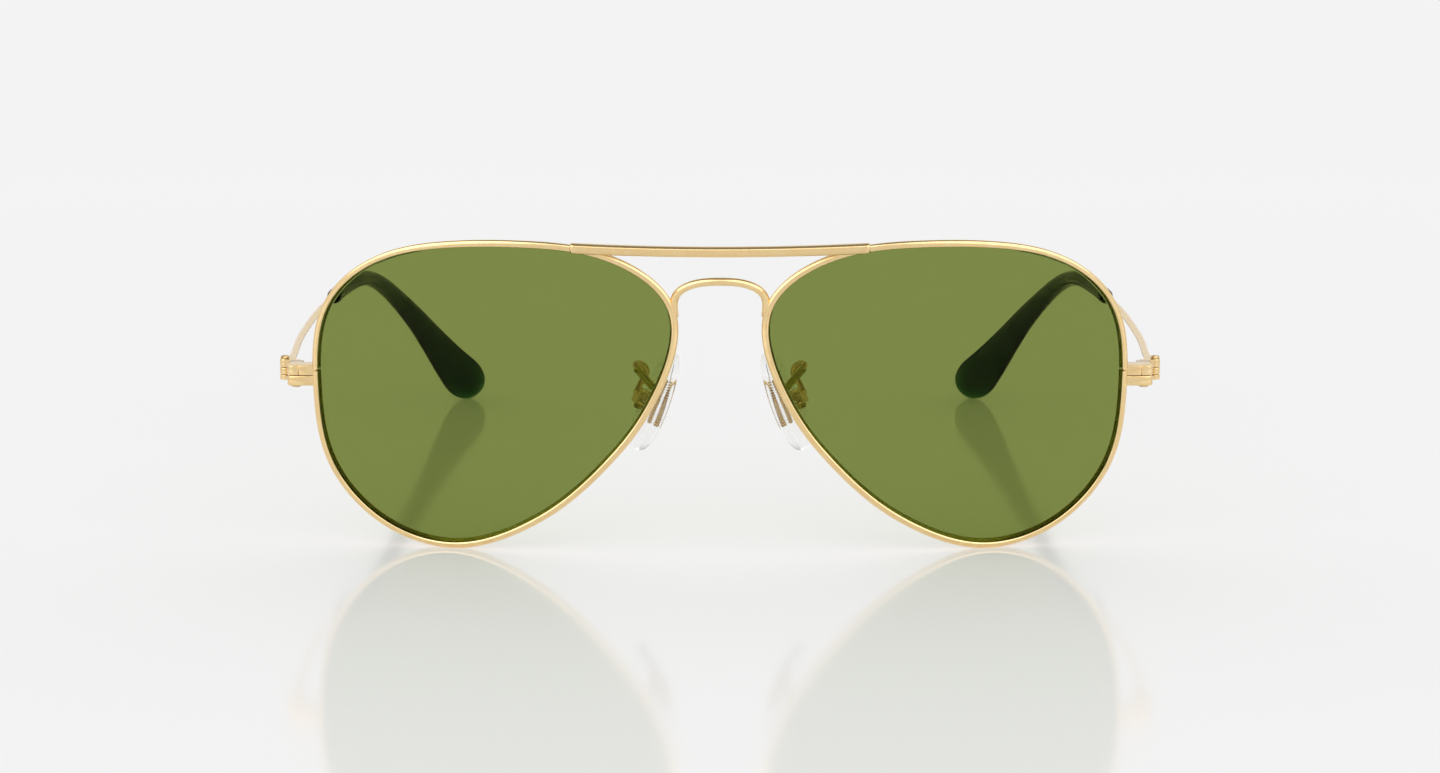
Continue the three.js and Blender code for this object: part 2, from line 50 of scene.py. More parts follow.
LENS_CENTRE_X = 36.3
LENS_SPHERE = 90.0
WRAP = math.radians(7)
LEAN = math.radians(8)
FRONT_Y = -8.0
FRONT_Z = 25.0
SPLIT_HEIGHT = 3.0
WALL_SHARE = 0.49
AXIS = "seat_axis"

Ring = list[Vector]
Seat = tuple[Vector, Vector]
Tree = bpy.types.NodeTree
Node = bpy.types.Node
Socket = bpy.types.NodeSocket
Thing = bpy.types.Object


class Side(Enum):
    """Side of the wearer that a piece sits on, with the sign of its X."""

    LEFT = 1
    RIGHT = -1

    @property
    def tag(self) -> str:
        """Ending of the names of the pieces on this side."""
        return self.name.lower()


class Body(Enum):
    """Moving bodies of the sunglasses."""

    FRONT = "front"
    TEMPLE = "temple"
    NOSE_PAD = "nose_pad"

    def on(self, side: Side) -> str:
        """Name of the CAD body on a side; the front, which has no sides, goes by its value."""
        return f"{self.value}_{side.tag}"


class Slot(Enum):
    """Material slots of the record."""

    GOLD = "gold_metal"
    LENS = "lens_glass"
    TIP = "tip_acetate"
    PAD = "pad_silicone"
    INSERT = "insert_metal"
    SCREW = "screw_metal"


# ---------------------------------------- node helper and colours
def linear(value: str) -> tuple[float, float, float, float]:
    """Turns an sRGB hex colour into linear light.

    Args:
        value: Six hex digits after a hash.

    Returns:
        Linear red, green, blue and an alpha of one.
    """
    parts = [int(value[i : i + 2], 16) / 255 for i in (1, 3, 5)]
    red, green, blue = (p / 12.92 if p <= 0.04045 else ((p + 0.055) / 1.055) ** 2.4 for p in parts)
    return red, green, blue, 1.0


def fill(tree: Tree, node: Node, **links: object) -> None:
    """Fills the inputs of a node.

    Args:
        tree: Node tree that holds the node.
        node: The node.
        links: Inputs by name with underscores for spaces, or by at_ and a number; a socket is
            linked, anything else is a value.
    """
    for key, value in links.items():
        name = key.replace("_", " ")
        socket = node.inputs[int(name[3:])] if name.startswith("at ") else node.inputs[name]
        if isinstance(value, Socket):
            tree.links.new(value, socket)
        else:
            socket.default_value = value


def add_node(tree: Tree, kind: str, settings: dict | None = None, **links: object) -> Node:
    """Adds a node, sets its properties and fills its inputs.

    Args:
        tree: Node tree that gets the node.
        kind: Blender's name of the node type.
        settings: Properties of the node, by attribute name.
        links: Inputs, as for fill.

    Returns:
        The new node.
    """
    node = tree.nodes.new(kind)
    for key, value in (settings or {}).items():
        setattr(node, key, value)
    fill(tree, node, **links)
    return node


# ---------------------------------------- finishes
@dataclass(frozen=True)
class Finish:
    """A finish: one material made from the numbers of its real counterpart."""

    name: str

    def make(self) -> bpy.types.Material:
        """Makes the material.

        Returns:
            The material, with its surface linked.
        """
        material = bpy.data.materials.new(self.name)
        material.use_nodes = True
        tree = material.node_tree
        tree.nodes.clear()
        shader = add_node(tree, "ShaderNodeBsdfPrincipled", **self.surface(tree))
        out = add_node(tree, "ShaderNodeOutputMaterial", Surface=shader.outputs["BSDF"])
        fill(tree, out, **self.depths(tree))
        return material

    def surface(self, tree: Tree) -> dict[str, object]:
        """Inputs of the Principled BSDF of this finish.

        Args:
            tree: Node tree of the material.

        Returns:
            The inputs by name, as for fill.
        """
        raise NotImplementedError

    def depths(self, tree: Tree) -> dict[str, object]:
        """Further inputs of the material's output; most finishes have none."""
        return {}


def grain(tree: Tree, size_mm: float, detail: float = 2.0) -> Socket:
    """Noise on object coordinates with patches of a real size.

    Args:
        tree: Node tree of the material.
        size_mm: Width of one patch in millimetres.
        detail: Octaves of the noise.

    Returns:
        The noise, from nought to one.
    """
    where = add_node(tree, "ShaderNodeTexCoord").outputs["Object"]
    noise = add_node(
        tree, "ShaderNodeTexNoise", Vector=where, Scale=1 / (size_mm * MM), Detail=detail
    )
    return noise.outputs["Fac"]


def tone(tree: Tree, noise: Socket, first: str, second: str) -> Socket:
    """Colour that drifts between two with a noise.

    Args:
        tree: Node tree of the material.
        noise: The noise.
        first: Colour at its low end.
        second: Colour at its high end.

    Returns:
        The colour.
    """
    mix = add_node(
        tree,
        "ShaderNodeMix",
        {"data_type": "RGBA"},
        Factor=noise,
        at_6=linear(first),
        at_7=linear(second),
    )
    return mix.outputs[2]


def polish(tree: Tree, noise: Socket, smooth: float, rough: float) -> Socket:
    """Roughness that drifts between two with a noise.

    Args:
        tree: Node tree of the material.
        noise: The noise.
        smooth: Roughness at its low end.
        rough: Roughness at its high end.

    Returns:
        The roughness.
    """
    drift = add_node(tree, "ShaderNodeMapRange", Value=noise, To_Min=smooth, To_Max=rough)
    return drift.outputs["Result"]


@dataclass(frozen=True)
class PlatedMetal(Finish):
    """Plated nickel alloy: drawn and pressed, polished, then plated, so it is bright."""

    colour: str = "#F1D8A6"
    shade: str = "#E6C388"
    smooth: float = 0.13
    rough: float = 0.2
    patch_mm: float = 1.4

    def surface(self, tree: Tree) -> dict[str, object]:
        """Metal whose polish and colour drift a little along the wire.

        Args:
            tree: Node tree of the material.

        Returns:
            The inputs by name, as for fill.
        """
        noise = grain(tree, self.patch_mm)
        return {
            "Metallic": 1.0,
            "Base_Color": tone(tree, noise, self.colour, self.shade),
            "Roughness": polish(tree, noise, self.smooth, self.rough),
        }


@dataclass(frozen=True)
class TintedGlass(Finish):
    """Ground and polished glass, tinted in the melt: clear, with a faint front gloss.

    The bend is kept low, as a coating keeps the gloss of the real lens low.
    """

    colour: str = "#828F4B"
    bend: float = 1.1
    haze: float = 0.0
    haze_step: float = 0.004
    patch_mm: float = 9.0

    def surface(self, tree: Tree) -> dict[str, object]:
        """Clear body with an even tint; the polish wanders by a hair across the lens.

        Args:
            tree: Node tree of the material.

        Returns:
            The inputs by name, as for fill.
        """
        noise = grain(tree, self.patch_mm, 0.0)
        return {
            "Base_Color": linear(self.colour),
            "Transmission_Weight": 1.0,
            "IOR": self.bend,
            "Roughness": polish(tree, noise, self.haze, self.haze + self.haze_step),
        }


@dataclass(frozen=True)
class Acetate(Finish):
    """Cellulose acetate, machined and tumbled: bottle green, and near black where it is thick."""

    colour: str = "#FFFFFF"
    streak: str = "#D9E6DE"
    glow: tuple[float, float, float, float] = (0.0, 0.48, 0.16, 1.0)
    density: float = 2600.0
    gloss: float = 0.04
    bend: float = 1.38
    patch_mm: float = 6.0

    def surface(self, tree: Tree) -> dict[str, object]:
        """Clear body with slow streaks; its colour comes from its depth.

        Args:
            tree: Node tree of the material.

        Returns:
            The inputs by name, as for fill.
        """
        noise = grain(tree, self.patch_mm, 1.0)
        return {
            "Base_Color": tone(tree, noise, self.colour, self.streak),
            "Roughness": self.gloss,
            "Transmission_Weight": 1.0,
            "IOR": self.bend,
        }

    def depths(self, tree: Tree) -> dict[str, object]:
        """Green that light picks up on its way through.

        Args:
            tree: Node tree of the material.

        Returns:
            The inputs by name, as for fill.
        """
        green = add_node(tree, "ShaderNodeVolumeAbsorption", Color=self.glow, Density=self.density)
        return {"Volume": green.outputs["Volume"]}


@dataclass(frozen=True)
class ClearSilicone(Finish):
    """Moulded clear silicone: water-clear with a soft skin, so its edges show as grey lines."""

    colour: str = "#FAFAF8"
    smooth: float = 0.0
    rough: float = 0.05
    bend: float = 1.2
    patch_mm: float = 1.2

    def surface(self, tree: Tree) -> dict[str, object]:
        """Clear body with a skin that is softer in patches.

        Args:
            tree: Node tree of the material.

        Returns:
            The inputs by name, as for fill.
        """
        return {
            "Base_Color": linear(self.colour),
            "Transmission_Weight": 1.0,
            "IOR": self.bend,
            "Roughness": polish(tree, grain(tree, self.patch_mm), self.smooth, self.rough),
        }


@dataclass(frozen=True)
class StudioFloor(Finish):
    """Satin laminate sheet: pale and even, with a faint reflection that blurs with height."""

    colour: str = "#EDEDED"
    gloss: float = 0.1
    bend: float = 1.3

    def surface(self, tree: Tree) -> dict[str, object]:
        """Pale satin surface.

        Args:
            tree: Node tree of the material; not used.

        Returns:
            The inputs by name, as for fill.
        """
        return {
            "Base_Color": linear(self.colour),
            "Roughness": self.gloss,
            "IOR": self.bend,
        }


class Wardrobe:
    """The materials, made once each: those of the record's slots and that of the floor."""

    def __init__(self) -> None:
        """Makes every material."""
        knurled = {"colour": "#CDB58C", "shade": "#A98F66", "smooth": 0.3, "rough": 0.42}
        turned = {"colour": "#D8BC86", "shade": "#C2A470", "smooth": 0.22, "rough": 0.34}
        finishes = {
            Slot.GOLD: PlatedMetal("gold-plated nickel alloy, polished"),
            Slot.INSERT: PlatedMetal("gold-plated nickel alloy, knurled", **knurled),
            Slot.SCREW: PlatedMetal("gold-plated stainless steel, turned", **turned),
            Slot.LENS: TintedGlass("green tinted mineral glass, polished"),
            Slot.TIP: Acetate("cellulose acetate, bottle green, tumbled"),
            Slot.PAD: ClearSilicone("clear silicone, moulded"),
        }
        self.worn = {slot: finish.make() for slot, finish in finishes.items()}
        self.floor = StudioFloor("white laminate, satin").make()


# ---------------------------------------- mesh helpers
def in_row_frame(point: Vector) -> Vector:
    """Moves a point of the drawing, in millimetres, to the row frame, in metres."""
    return Vector((point.x, point.y - MIDDLE_Y, point.z + STANDING_Z)) * MM


def of_front(point: Vector) -> Vector:
    """Moves a point drawn on the upright front to the leaning front, in millimetres."""
    return Matrix.Rotation(LEAN, 3, "X") @ point + Vector((0, FRONT_Y, FRONT_Z))


def flipped(points: Sequence[Vector], side: Side) -> list[Vector]:
    """Mirrors points drawn for the left to a side."""
    return [Vector((p.x * side.value, p.y, p.z)) for p in points]


@dataclass
class Shell:
    """A closed surface under construction, in millimetres."""

    points: list[Vector] = field(default_factory=list)
    faces: list[tuple[int, ...]] = field(default_factory=list)

    def moved(self, place: Callable[[Vector], Vector]) -> "Shell":
        """Returns the shell with every point moved by a rule."""
        return Shell([place(p) for p in self.points], list(self.faces))

    def on(self, side: Side) -> "Shell":
        """Returns the shell, drawn for the left, on a side."""
        return Shell(flipped(self.points, side), list(self.faces))


def loft(rings: Sequence[Ring], capped: bool = True) -> Shell:
    """Joins equal rings of points by walls.

    Args:
        rings: Rings along the piece, each round its section.
        capped: Whether a face closes each end.

    Returns:
        The shell.
    """
    count = len(rings[0])
    points = [point for ring in rings for point in ring]
    faces: list[tuple[int, ...]] = []
    for i in range(len(rings) - 1):
        here, there = i * count, (i + 1) * count
        for j in range(count):
            k = (j + 1) % count
            faces.append((here + j, here + k, there + k, there + j))
    if capped:
        last = (len(rings) - 1) * count
        faces.append(tuple(reversed(range(count))))
        faces.append(tuple(range(last, last + count)))
    return Shell(points, faces)


def lathe(profile: Sequence[tuple[float, float]], sides: int) -> Shell:
    """Turns a closed profile of (radius, height) about the Z axis.

    Args:
        profile: Profile points; a radius of zero makes a pole.
        sides: Sides of the turned piece.

    Returns:
        The closed shell.
    """
    points: list[Vector] = []
    rows: list[list[int]] = []
    for radius, height in profile:
        start = len(points)
        if radius == 0:
            points.append(Vector((0, 0, height)))
            rows.append([start] * sides)
            continue
        for i in range(sides):
            turn = math.tau * i / sides
            points.append(Vector((radius * math.cos(turn), radius * math.sin(turn), height)))
        rows.append([start + i for i in range(sides)])
    faces: list[tuple[int, ...]] = []
    closed = profile[0][0] != 0
    for i in range(len(rows) if closed else len(rows) - 1):
        low, high = rows[i], rows[(i + 1) % len(rows)]
        for j in range(sides):
            k = (j + 1) % sides
            face = tuple(dict.fromkeys((low[j], low[k], high[k], high[j])))
            if len(face) > 2:
                faces.append(face)
    return Shell(points, faces)


def prism(outline: Sequence[tuple[float, float]], bottom: float, top: float) -> Shell:
    """Upright prism of an outline between two heights, in millimetres."""
    return loft([[Vector((x, y, z)) for x, y in outline] for z in (bottom, top)])


def block(low: Sequence[float], high: Sequence[float]) -> Shell:
    """Box between two corners."""
    outline = [(low[0], low[1]), (high[0], low[1]), (high[0], high[1]), (low[0], high[1])]
    return prism(outline, low[2], high[2])


def ellipse(
    centre: Vector, across: Vector, up: Vector, wide: float, tall: float, sides: int
) -> Ring:
    """Ring of points on an ellipse about a centre, in the plane of two unit directions."""
    turns = [math.tau * i / sides for i in range(sides)]
    return [centre + across * (wide * math.cos(t)) + up * (tall * math.sin(t)) for t in turns]


def rounded(
    corners: Sequence[tuple[float, float, float]], steps: int = 4
) -> list[tuple[float, float]]:
    """Rounds the corners of a section.

    Args:
        corners: Corners as x, y and the length that rounding takes from each side.
        steps: Points of each rounded corner after its first.

    Returns:
        Points of the rounded section.
    """
    result: list[tuple[float, float]] = []
    count = len(corners)
    for i, (x, y, radius) in enumerate(corners):
        here = Vector((x, y))
        if radius == 0:
            result.append((x, y))
            continue
        before = Vector(corners[i - 1][:2]) - here
        after = Vector(corners[(i + 1) % count][:2]) - here
        start = here + before.normalized() * min(radius, before.length * WALL_SHARE)
        end = here + after.normalized() * min(radius, after.length * WALL_SHARE)
        for step in range(steps + 1):
            s = step / steps
            point = start * (1 - s) ** 2 + here * (2 * s * (1 - s)) + end * s**2
            result.append((point.x, point.y))
    return result


def catmull_rom(points: Sequence[Vector], samples: int) -> Ring:
    """Samples a smooth centripetal curve through points, evenly along its length.

    Args:
        points: Points that the curve passes.
        samples: Number of points to return.

    Returns:
        Evenly spaced points from the first point to the last.
    """
    ends = [points[0] * 2 - points[1], *points, points[-1] * 2 - points[-2]]
    dense: Ring = []
    pieces = 40
    for i in range(1, len(ends) - 2):
        p0, p1, p2, p3 = ends[i - 1 : i + 3]
        d1, d2, d3 = (math.sqrt((b - a).length) for a, b in ((p0, p1), (p1, p2), (p2, p3)))
        m1 = ((p1 - p0) / d1 - (p2 - p0) / (d1 + d2) + (p2 - p1) / d2) * d2
        m2 = ((p2 - p1) / d2 - (p3 - p1) / (d2 + d3) + (p3 - p2) / d3) * d2
        for k in range(pieces):
            s = k / pieces
            dense.append(
                p1 * (2 * s**3 - 3 * s**2 + 1)
                + m1 * (s**3 - 2 * s**2 + s)
                + p2 * (-2 * s**3 + 3 * s**2)
                + m2 * (s**3 - s**2)
            )
    dense.append(points[-1].copy())
    lengths = [0.0]
    for a, b in zip(dense, dense[1:]):
        lengths.append(lengths[-1] + (b - a).length)
    result: Ring = []
    at = 0
    for i in range(samples):
        goal = lengths[-1] * i / (samples - 1)
        while at < len(dense) - 2 and lengths[at + 1] < goal:
            at += 1
        span = lengths[at + 1] - lengths[at]
        result.append(dense[at].lerp(dense[at + 1], (goal - lengths[at]) / span))
    return result


def solid(name: str, shell: Shell, crease: float = 35.0) -> Thing:
    """Makes a piece in the row frame from a shell in the drawing's frame.

    Args:
        name: Name of the piece.
        shell: Closed shell in millimetres.
        crease: Angle in degrees past which an edge stays sharp.

    Returns:
        The piece, smooth, with every face outwards.
    """
    mesh = bpy.data.meshes.new(name)
    mesh.from_pydata([in_row_frame(p) for p in shell.points], [], shell.faces)
    build = bmesh.new()
    build.from_mesh(mesh)
    bmesh.ops.remove_doubles(build, verts=build.verts, dist=1e-7)
    bmesh.ops.recalc_face_normals(build, faces=build.faces)
    build.to_mesh(mesh)
    build.free()
    mesh.shade_smooth()
    mesh.set_sharp_from_angle(angle=math.radians(crease))
    return placed(name, mesh)


def placed(name: str, mesh: bpy.types.Mesh) -> Thing:
    """Puts a mesh in the scene as an object at the origin.

    Args:
        name: Name of the object.
        mesh: Its mesh.

    Returns:
        The object.
    """
    thing = bpy.data.objects.new(name, mesh)
    bpy.context.scene.collection.objects.link(thing)
    return thing


def baked(thing: Thing, crease: float) -> Thing:
    """Turns an object with modifiers into a plain mesh object.

    Args:
        thing: Object with live modifiers.
        crease: Angle in degrees past which an edge is made sharp again.

    Returns:
        The same object with the result as its mesh and no modifiers.
    """
    graph = bpy.context.evaluated_depsgraph_get()
    mesh = bpy.data.meshes.new_from_object(thing.evaluated_get(graph))
    old = thing.data
    thing.modifiers.clear()
    thing.data = mesh
    bpy.data.meshes.remove(old)
    mesh.name = thing.name
    mesh.shade_smooth()
    mesh.set_sharp_from_angle(angle=math.radians(crease))
    return thing


def combined(thing: Thing, others: Sequence[Thing], how: str) -> Thing:
    """Joins or cuts a piece with others, which are used up.

    Args:
        thing: Piece that is kept.
        others: Pieces that are added or taken away.
        how: Blender's name of the operation.

    Returns:
        The piece, as a plain mesh.
    """
    for other in others:
        boolean = thing.modifiers.new("join", "BOOLEAN")
        boolean.operation = how
        boolean.solver = "EXACT"
        boolean.object = other
    result = baked(thing, 35)
    for other in others:
        data = other.data
        bpy.data.objects.remove(other)
        bpy.data.meshes.remove(data)
    return result


def softened(thing: Thing, width_mm: float) -> Thing:
    """Breaks the sharp edges of a machined piece.

    Args:
        thing: Piece to soften.
        width_mm: Width of the broken edge in millimetres.

    Returns:
        The piece, as a plain mesh.
    """
    bevel = thing.modifiers.new("broken edges", "BEVEL")
    bevel.width = width_mm * MM
    bevel.segments = 2
    bevel.limit_method = "ANGLE"
    bevel.angle_limit = math.radians(38)
    return baked(thing, 50)


# ---------------------------------------- geometry nodes
def group_with(name: str, inputs: Sequence[tuple[str, str, float | int]]) -> Tree:
    """Starts a geometry group with named inputs.

    Args:
        name: Name of the group.
        inputs: Name, socket type and default of each input after the geometry.

    Returns:
        The group, with its geometry input and output declared.
    """
    tree = bpy.data.node_groups.new(name, "GeometryNodeTree")
    tree.interface.new_socket("Geometry", in_out="INPUT", socket_type="NodeSocketGeometry")
    tree.interface.new_socket("Geometry", in_out="OUTPUT", socket_type="NodeSocketGeometry")
    for label, kind, default in inputs:
        socket = tree.interface.new_socket(label, in_out="INPUT", socket_type=kind)
        socket.default_value = default
    return tree


def close_group(tree: Tree, geometry: Socket, material: bpy.types.Material) -> None:
    """Ends a geometry group with Realize Instances and Set Material.

    Args:
        tree: The group.
        geometry: What the group has made.
        material: Material that it wears.
    """
    real = add_node(tree, "GeometryNodeRealizeInstances", Geometry=geometry)
    dressed = add_node(
        tree, "GeometryNodeSetMaterial", Geometry=real.outputs["Geometry"], Material=material
    )
    add_node(tree, "NodeGroupOutput", Geometry=dressed.outputs["Geometry"])


def close_with_seats(
    tree: Tree,
    seats: Socket,
    piece: Socket,
    material: bpy.types.Material,
) -> None:
    """Ends a geometry group by setting a piece at every seat, along the axis kept there.

    Args:
        tree: The group.
        seats: Mesh with a vertex at each seat.
        piece: The piece, standing along Z.
        material: Material that it wears.
    """
    axis = add_node(
        tree, "GeometryNodeInputNamedAttribute", {"data_type": "FLOAT_VECTOR"}, Name=AXIS
    )
    align = add_node(
        tree, "FunctionNodeAlignRotationToVector", {"axis": "Z"}, Vector=axis.outputs["Attribute"]
    )
    points = add_node(tree, "GeometryNodeMeshToPoints", Mesh=seats)
    pieces = add_node(
        tree,
        "GeometryNodeInstanceOnPoints",
        Points=points.outputs["Points"],
        Instance=piece,
        Rotation=align.outputs["Rotation"],
    )
    close_group(tree, pieces.outputs["Instances"], material)


def seat_mesh(name: str, seats: Sequence[Seat]) -> bpy.types.Mesh:
    """Mesh with a vertex at each seat, which keeps the axis of the piece that it gets.

    Args:
        name: Name of the mesh.
        seats: The seats, in the drawing's frame.

    Returns:
        The mesh.
    """
    base = bpy.data.meshes.new(name)
    base.from_pydata([in_row_frame(place) for place, _ in seats], [], [])
    axis = base.attributes.new(AXIS, "FLOAT_VECTOR", "POINT")
    for i, (_, direction) in enumerate(seats):
        axis.data[i].vector = direction
    return base


def grown(name: str, base: bpy.types.Mesh, tree: Tree, values: dict[str, float]) -> Thing:
    """Runs a geometry group on a base mesh and keeps the result as a plain mesh.

    Args:
        name: Name of the piece.
        base: Mesh that the group starts from.
        tree: The group.
        values: Values of its named inputs.

    Returns:
        The finished piece.
    """
    thing = placed(name, base)
    modifier = thing.modifiers.new("build", "NODES")
    modifier.node_group = tree
    for socket in tree.interface.items_tree:
        if socket.item_type == "SOCKET" and socket.in_out == "INPUT" and socket.name in values:
            modifier[socket.identifier] = values[socket.name]
    return baked(thing, 50)


class WireDrawer:
    """Sweeps round wire along a path."""

    def __init__(self, material: bpy.types.Material) -> None:
        """Builds the group.

        Args:
            material: Material of the wire.
        """
        self.tree = group_with(
            "drawn wire", [("Radius", "NodeSocketFloat", 0.0006), ("Sides", "NodeSocketInt", 28)]
        )
        entry = add_node(self.tree, "NodeGroupInput")
        path = add_node(self.tree, "GeometryNodeMeshToCurve", Mesh=entry.outputs["Geometry"])
        section = add_node(
            self.tree,
            "GeometryNodeCurvePrimitiveCircle",
            Resolution=entry.outputs["Sides"],
            Radius=entry.outputs["Radius"],
        )
        wire = add_node(
            self.tree,
            "GeometryNodeCurveToMesh",
            Curve=path.outputs["Curve"],
            Profile_Curve=section.outputs["Curve"],
            Fill_Caps=True,
        )
        close_group(self.tree, wire.outputs["Mesh"], material)

    def draw(self, name: str, path: Sequence[Vector], radius_mm: float, sides: int = 28) -> Thing:
        """Draws one wire.

        Args:
            name: Name of the piece.
            path: Points of the path in the drawing's frame.
            radius_mm: Radius of the wire.
            sides: Sides of its section.

        Returns:
            The wire as a plain mesh object.
        """
        base = bpy.data.meshes.new(name)
        edges = [(i, i + 1) for i in range(len(path) - 1)]
        base.from_pydata([in_row_frame(p) for p in path], edges, [])
        return grown(name, base, self.tree, {"Radius": radius_mm * MM, "Sides": sides})


def times(tree: Tree, value: Socket, factor: float) -> Socket:
    """Adds a node that multiplies a value by a factor, and returns its result."""
    settings = {"operation": "MULTIPLY"}
    return add_node(tree, "ShaderNodeMath", settings, at_0=value, at_1=factor).outputs[0]


def raised(
    tree: Tree,
    shape: Node,
    height: Socket,
    turn: Socket | float = 0.0,
) -> Socket:
    """Adds nodes that turn a shape about Z and move it along Z.

    Args:
        tree: The group.
        shape: Node that makes the shape.
        height: Distance along Z.
        turn: Angle about Z.

    Returns:
        The shape in its place.
    """
    lift = add_node(tree, "ShaderNodeCombineXYZ", Z=height)
    spin = add_node(tree, "ShaderNodeCombineXYZ", Z=turn)
    return add_node(
        tree,
        "GeometryNodeTransform",
        Geometry=shape.outputs["Mesh"],
        Translation=lift.outputs[0],
        Rotation=spin.outputs[0],
    ).outputs["Geometry"]


class ScrewSetter:
    """Sets slotted screws at seats, each along the axis kept at its seat."""

    SIZES = ("Head Radius", "Head Height", "Shank Radius", "Shank Length")
    TURN = "Slot Turn"

    def __init__(self, material: bpy.types.Material) -> None:
        """Builds the group: a head with a bevelled rim, a shank and a slot across the head.

        Args:
            material: Material of the screws.
        """
        inputs = [(name, "NodeSocketFloat", 0.001) for name in (*self.SIZES, self.TURN)]
        self.tree = tree = group_with("slotted screws", inputs)
        value = add_node(tree, "NodeGroupInput").outputs
        radius, height, shank_radius, shank_length = (value[name] for name in self.SIZES)
        half = times(tree, height, 0.5)
        body = add_node(tree, "GeometryNodeMeshCylinder", Vertices=32, Radius=radius, Depth=half)
        cone = add_node(
            tree,
            "GeometryNodeMeshCone",
            Vertices=32,
            Side_Segments=1,
            Radius_Top=times(tree, radius, 0.8),
            Radius_Bottom=radius,
            Depth=half,
        )
        shank = add_node(
            tree, "GeometryNodeMeshCylinder", Vertices=24, Radius=shank_radius, Depth=shank_length
        )
        screw = add_node(tree, "GeometryNodeMeshBoolean", {"operation": "UNION", "solver": "EXACT"})
        places = {body: times(tree, half, 0.5), cone: half, shank: times(tree, shank_length, -0.48)}
        for shape, place in places.items():
            tree.links.new(raised(tree, shape, place), screw.inputs["Mesh 2"])
        slot = add_node(
            tree,
            "ShaderNodeCombineXYZ",
            X=times(tree, radius, 3.0),
            Y=times(tree, radius, 0.36),
            Z=height,
        )
        cutter = add_node(tree, "GeometryNodeMeshCube", Size=slot.outputs[0])
        slotted = add_node(
            tree,
            "GeometryNodeMeshBoolean",
            {"operation": "DIFFERENCE", "solver": "EXACT"},
            Mesh_1=screw.outputs["Mesh"],
            Mesh_2=raised(tree, cutter, height, value[self.TURN]),
        )
        close_with_seats(tree, value["Geometry"], slotted.outputs["Mesh"], material)

    def put(self, name: str, seats: Sequence[Seat], sizes: Sequence[float], turn: float) -> Thing:
        """Puts one kind of screw at its seats.

        Args:
            name: Name of the piece.
            seats: Place under the head, in the drawing's frame, and direction out of the head.
            sizes: Radius and height of the head, radius and length of the shank, in millimetres.
            turn: Turn of the slot in radians.

        Returns:
            The screws as one plain mesh object.
        """
        values = {key: size * MM for key, size in zip(self.SIZES, sizes)}
        return grown(name, seat_mesh(name, seats), self.tree, {**values, self.TURN: turn})


class Knurler:
    """Sets rows of small ridges along the edges of a plate."""

    def __init__(self, material: bpy.types.Material) -> None:
        """Builds the group.

        Args:
            material: Material of the ridges and the plate.
        """
        inputs = [(f"Ridge {size}", "NodeSocketFloat", 0.0001) for size in ("Radius", "Length")]
        self.tree = tree = group_with("knurled plate", inputs)
        value = add_node(tree, "NodeGroupInput").outputs
        ridge = add_node(
            tree,
            "GeometryNodeMeshCylinder",
            Vertices=10,
            Radius=value["Ridge Radius"],
            Depth=value["Ridge Length"],
        )
        close_with_seats(tree, value["Geometry"], ridge.outputs["Mesh"], material)

    def cut(self, name: str, seats: Sequence[Seat], radius: float, length: float) -> Thing:
        """Makes the ridges.

        Args:
            name: Name of the piece.
            seats: Middle and direction of each ridge, in the drawing's frame.
            radius: Radius of a ridge in millimetres.
            length: Length of a ridge in millimetres.

        Returns:
            The ridges as one plain mesh object.
        """
        values = {"Ridge Radius": radius * MM, "Ridge Length": length * MM}
        return grown(name, seat_mesh(name, seats), self.tree, values)


# ---------------------------------------- dressing
@dataclass
class Workshop:
    """What every sub-assembly needs: the materials and the tools that use them."""

    wardrobe: Wardrobe
    wire: WireDrawer
    screws: ScrewSetter
    knurler: Knurler

    def dress(self, thing: Thing, slot: Slot, body: str, *nodes: str) -> Thing:
        """Gives a finished piece its material, its body and the CAD nodes it stands for.

        Args:
            thing: The piece.
            slot: Material slot that it takes its finish from.
            body: CAD body that it moves with.
            nodes: CAD nodes that it replaces.

        Returns:
            The piece.
        """
        thing.data.materials.clear()
        thing.data.materials.append(self.wardrobe.worn[slot])
        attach(thing, body)
        if nodes:
            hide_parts(*nodes)
        LOG.info("%s: %d faces on %s", thing.name, len(thing.data.polygons), body)
        return thing


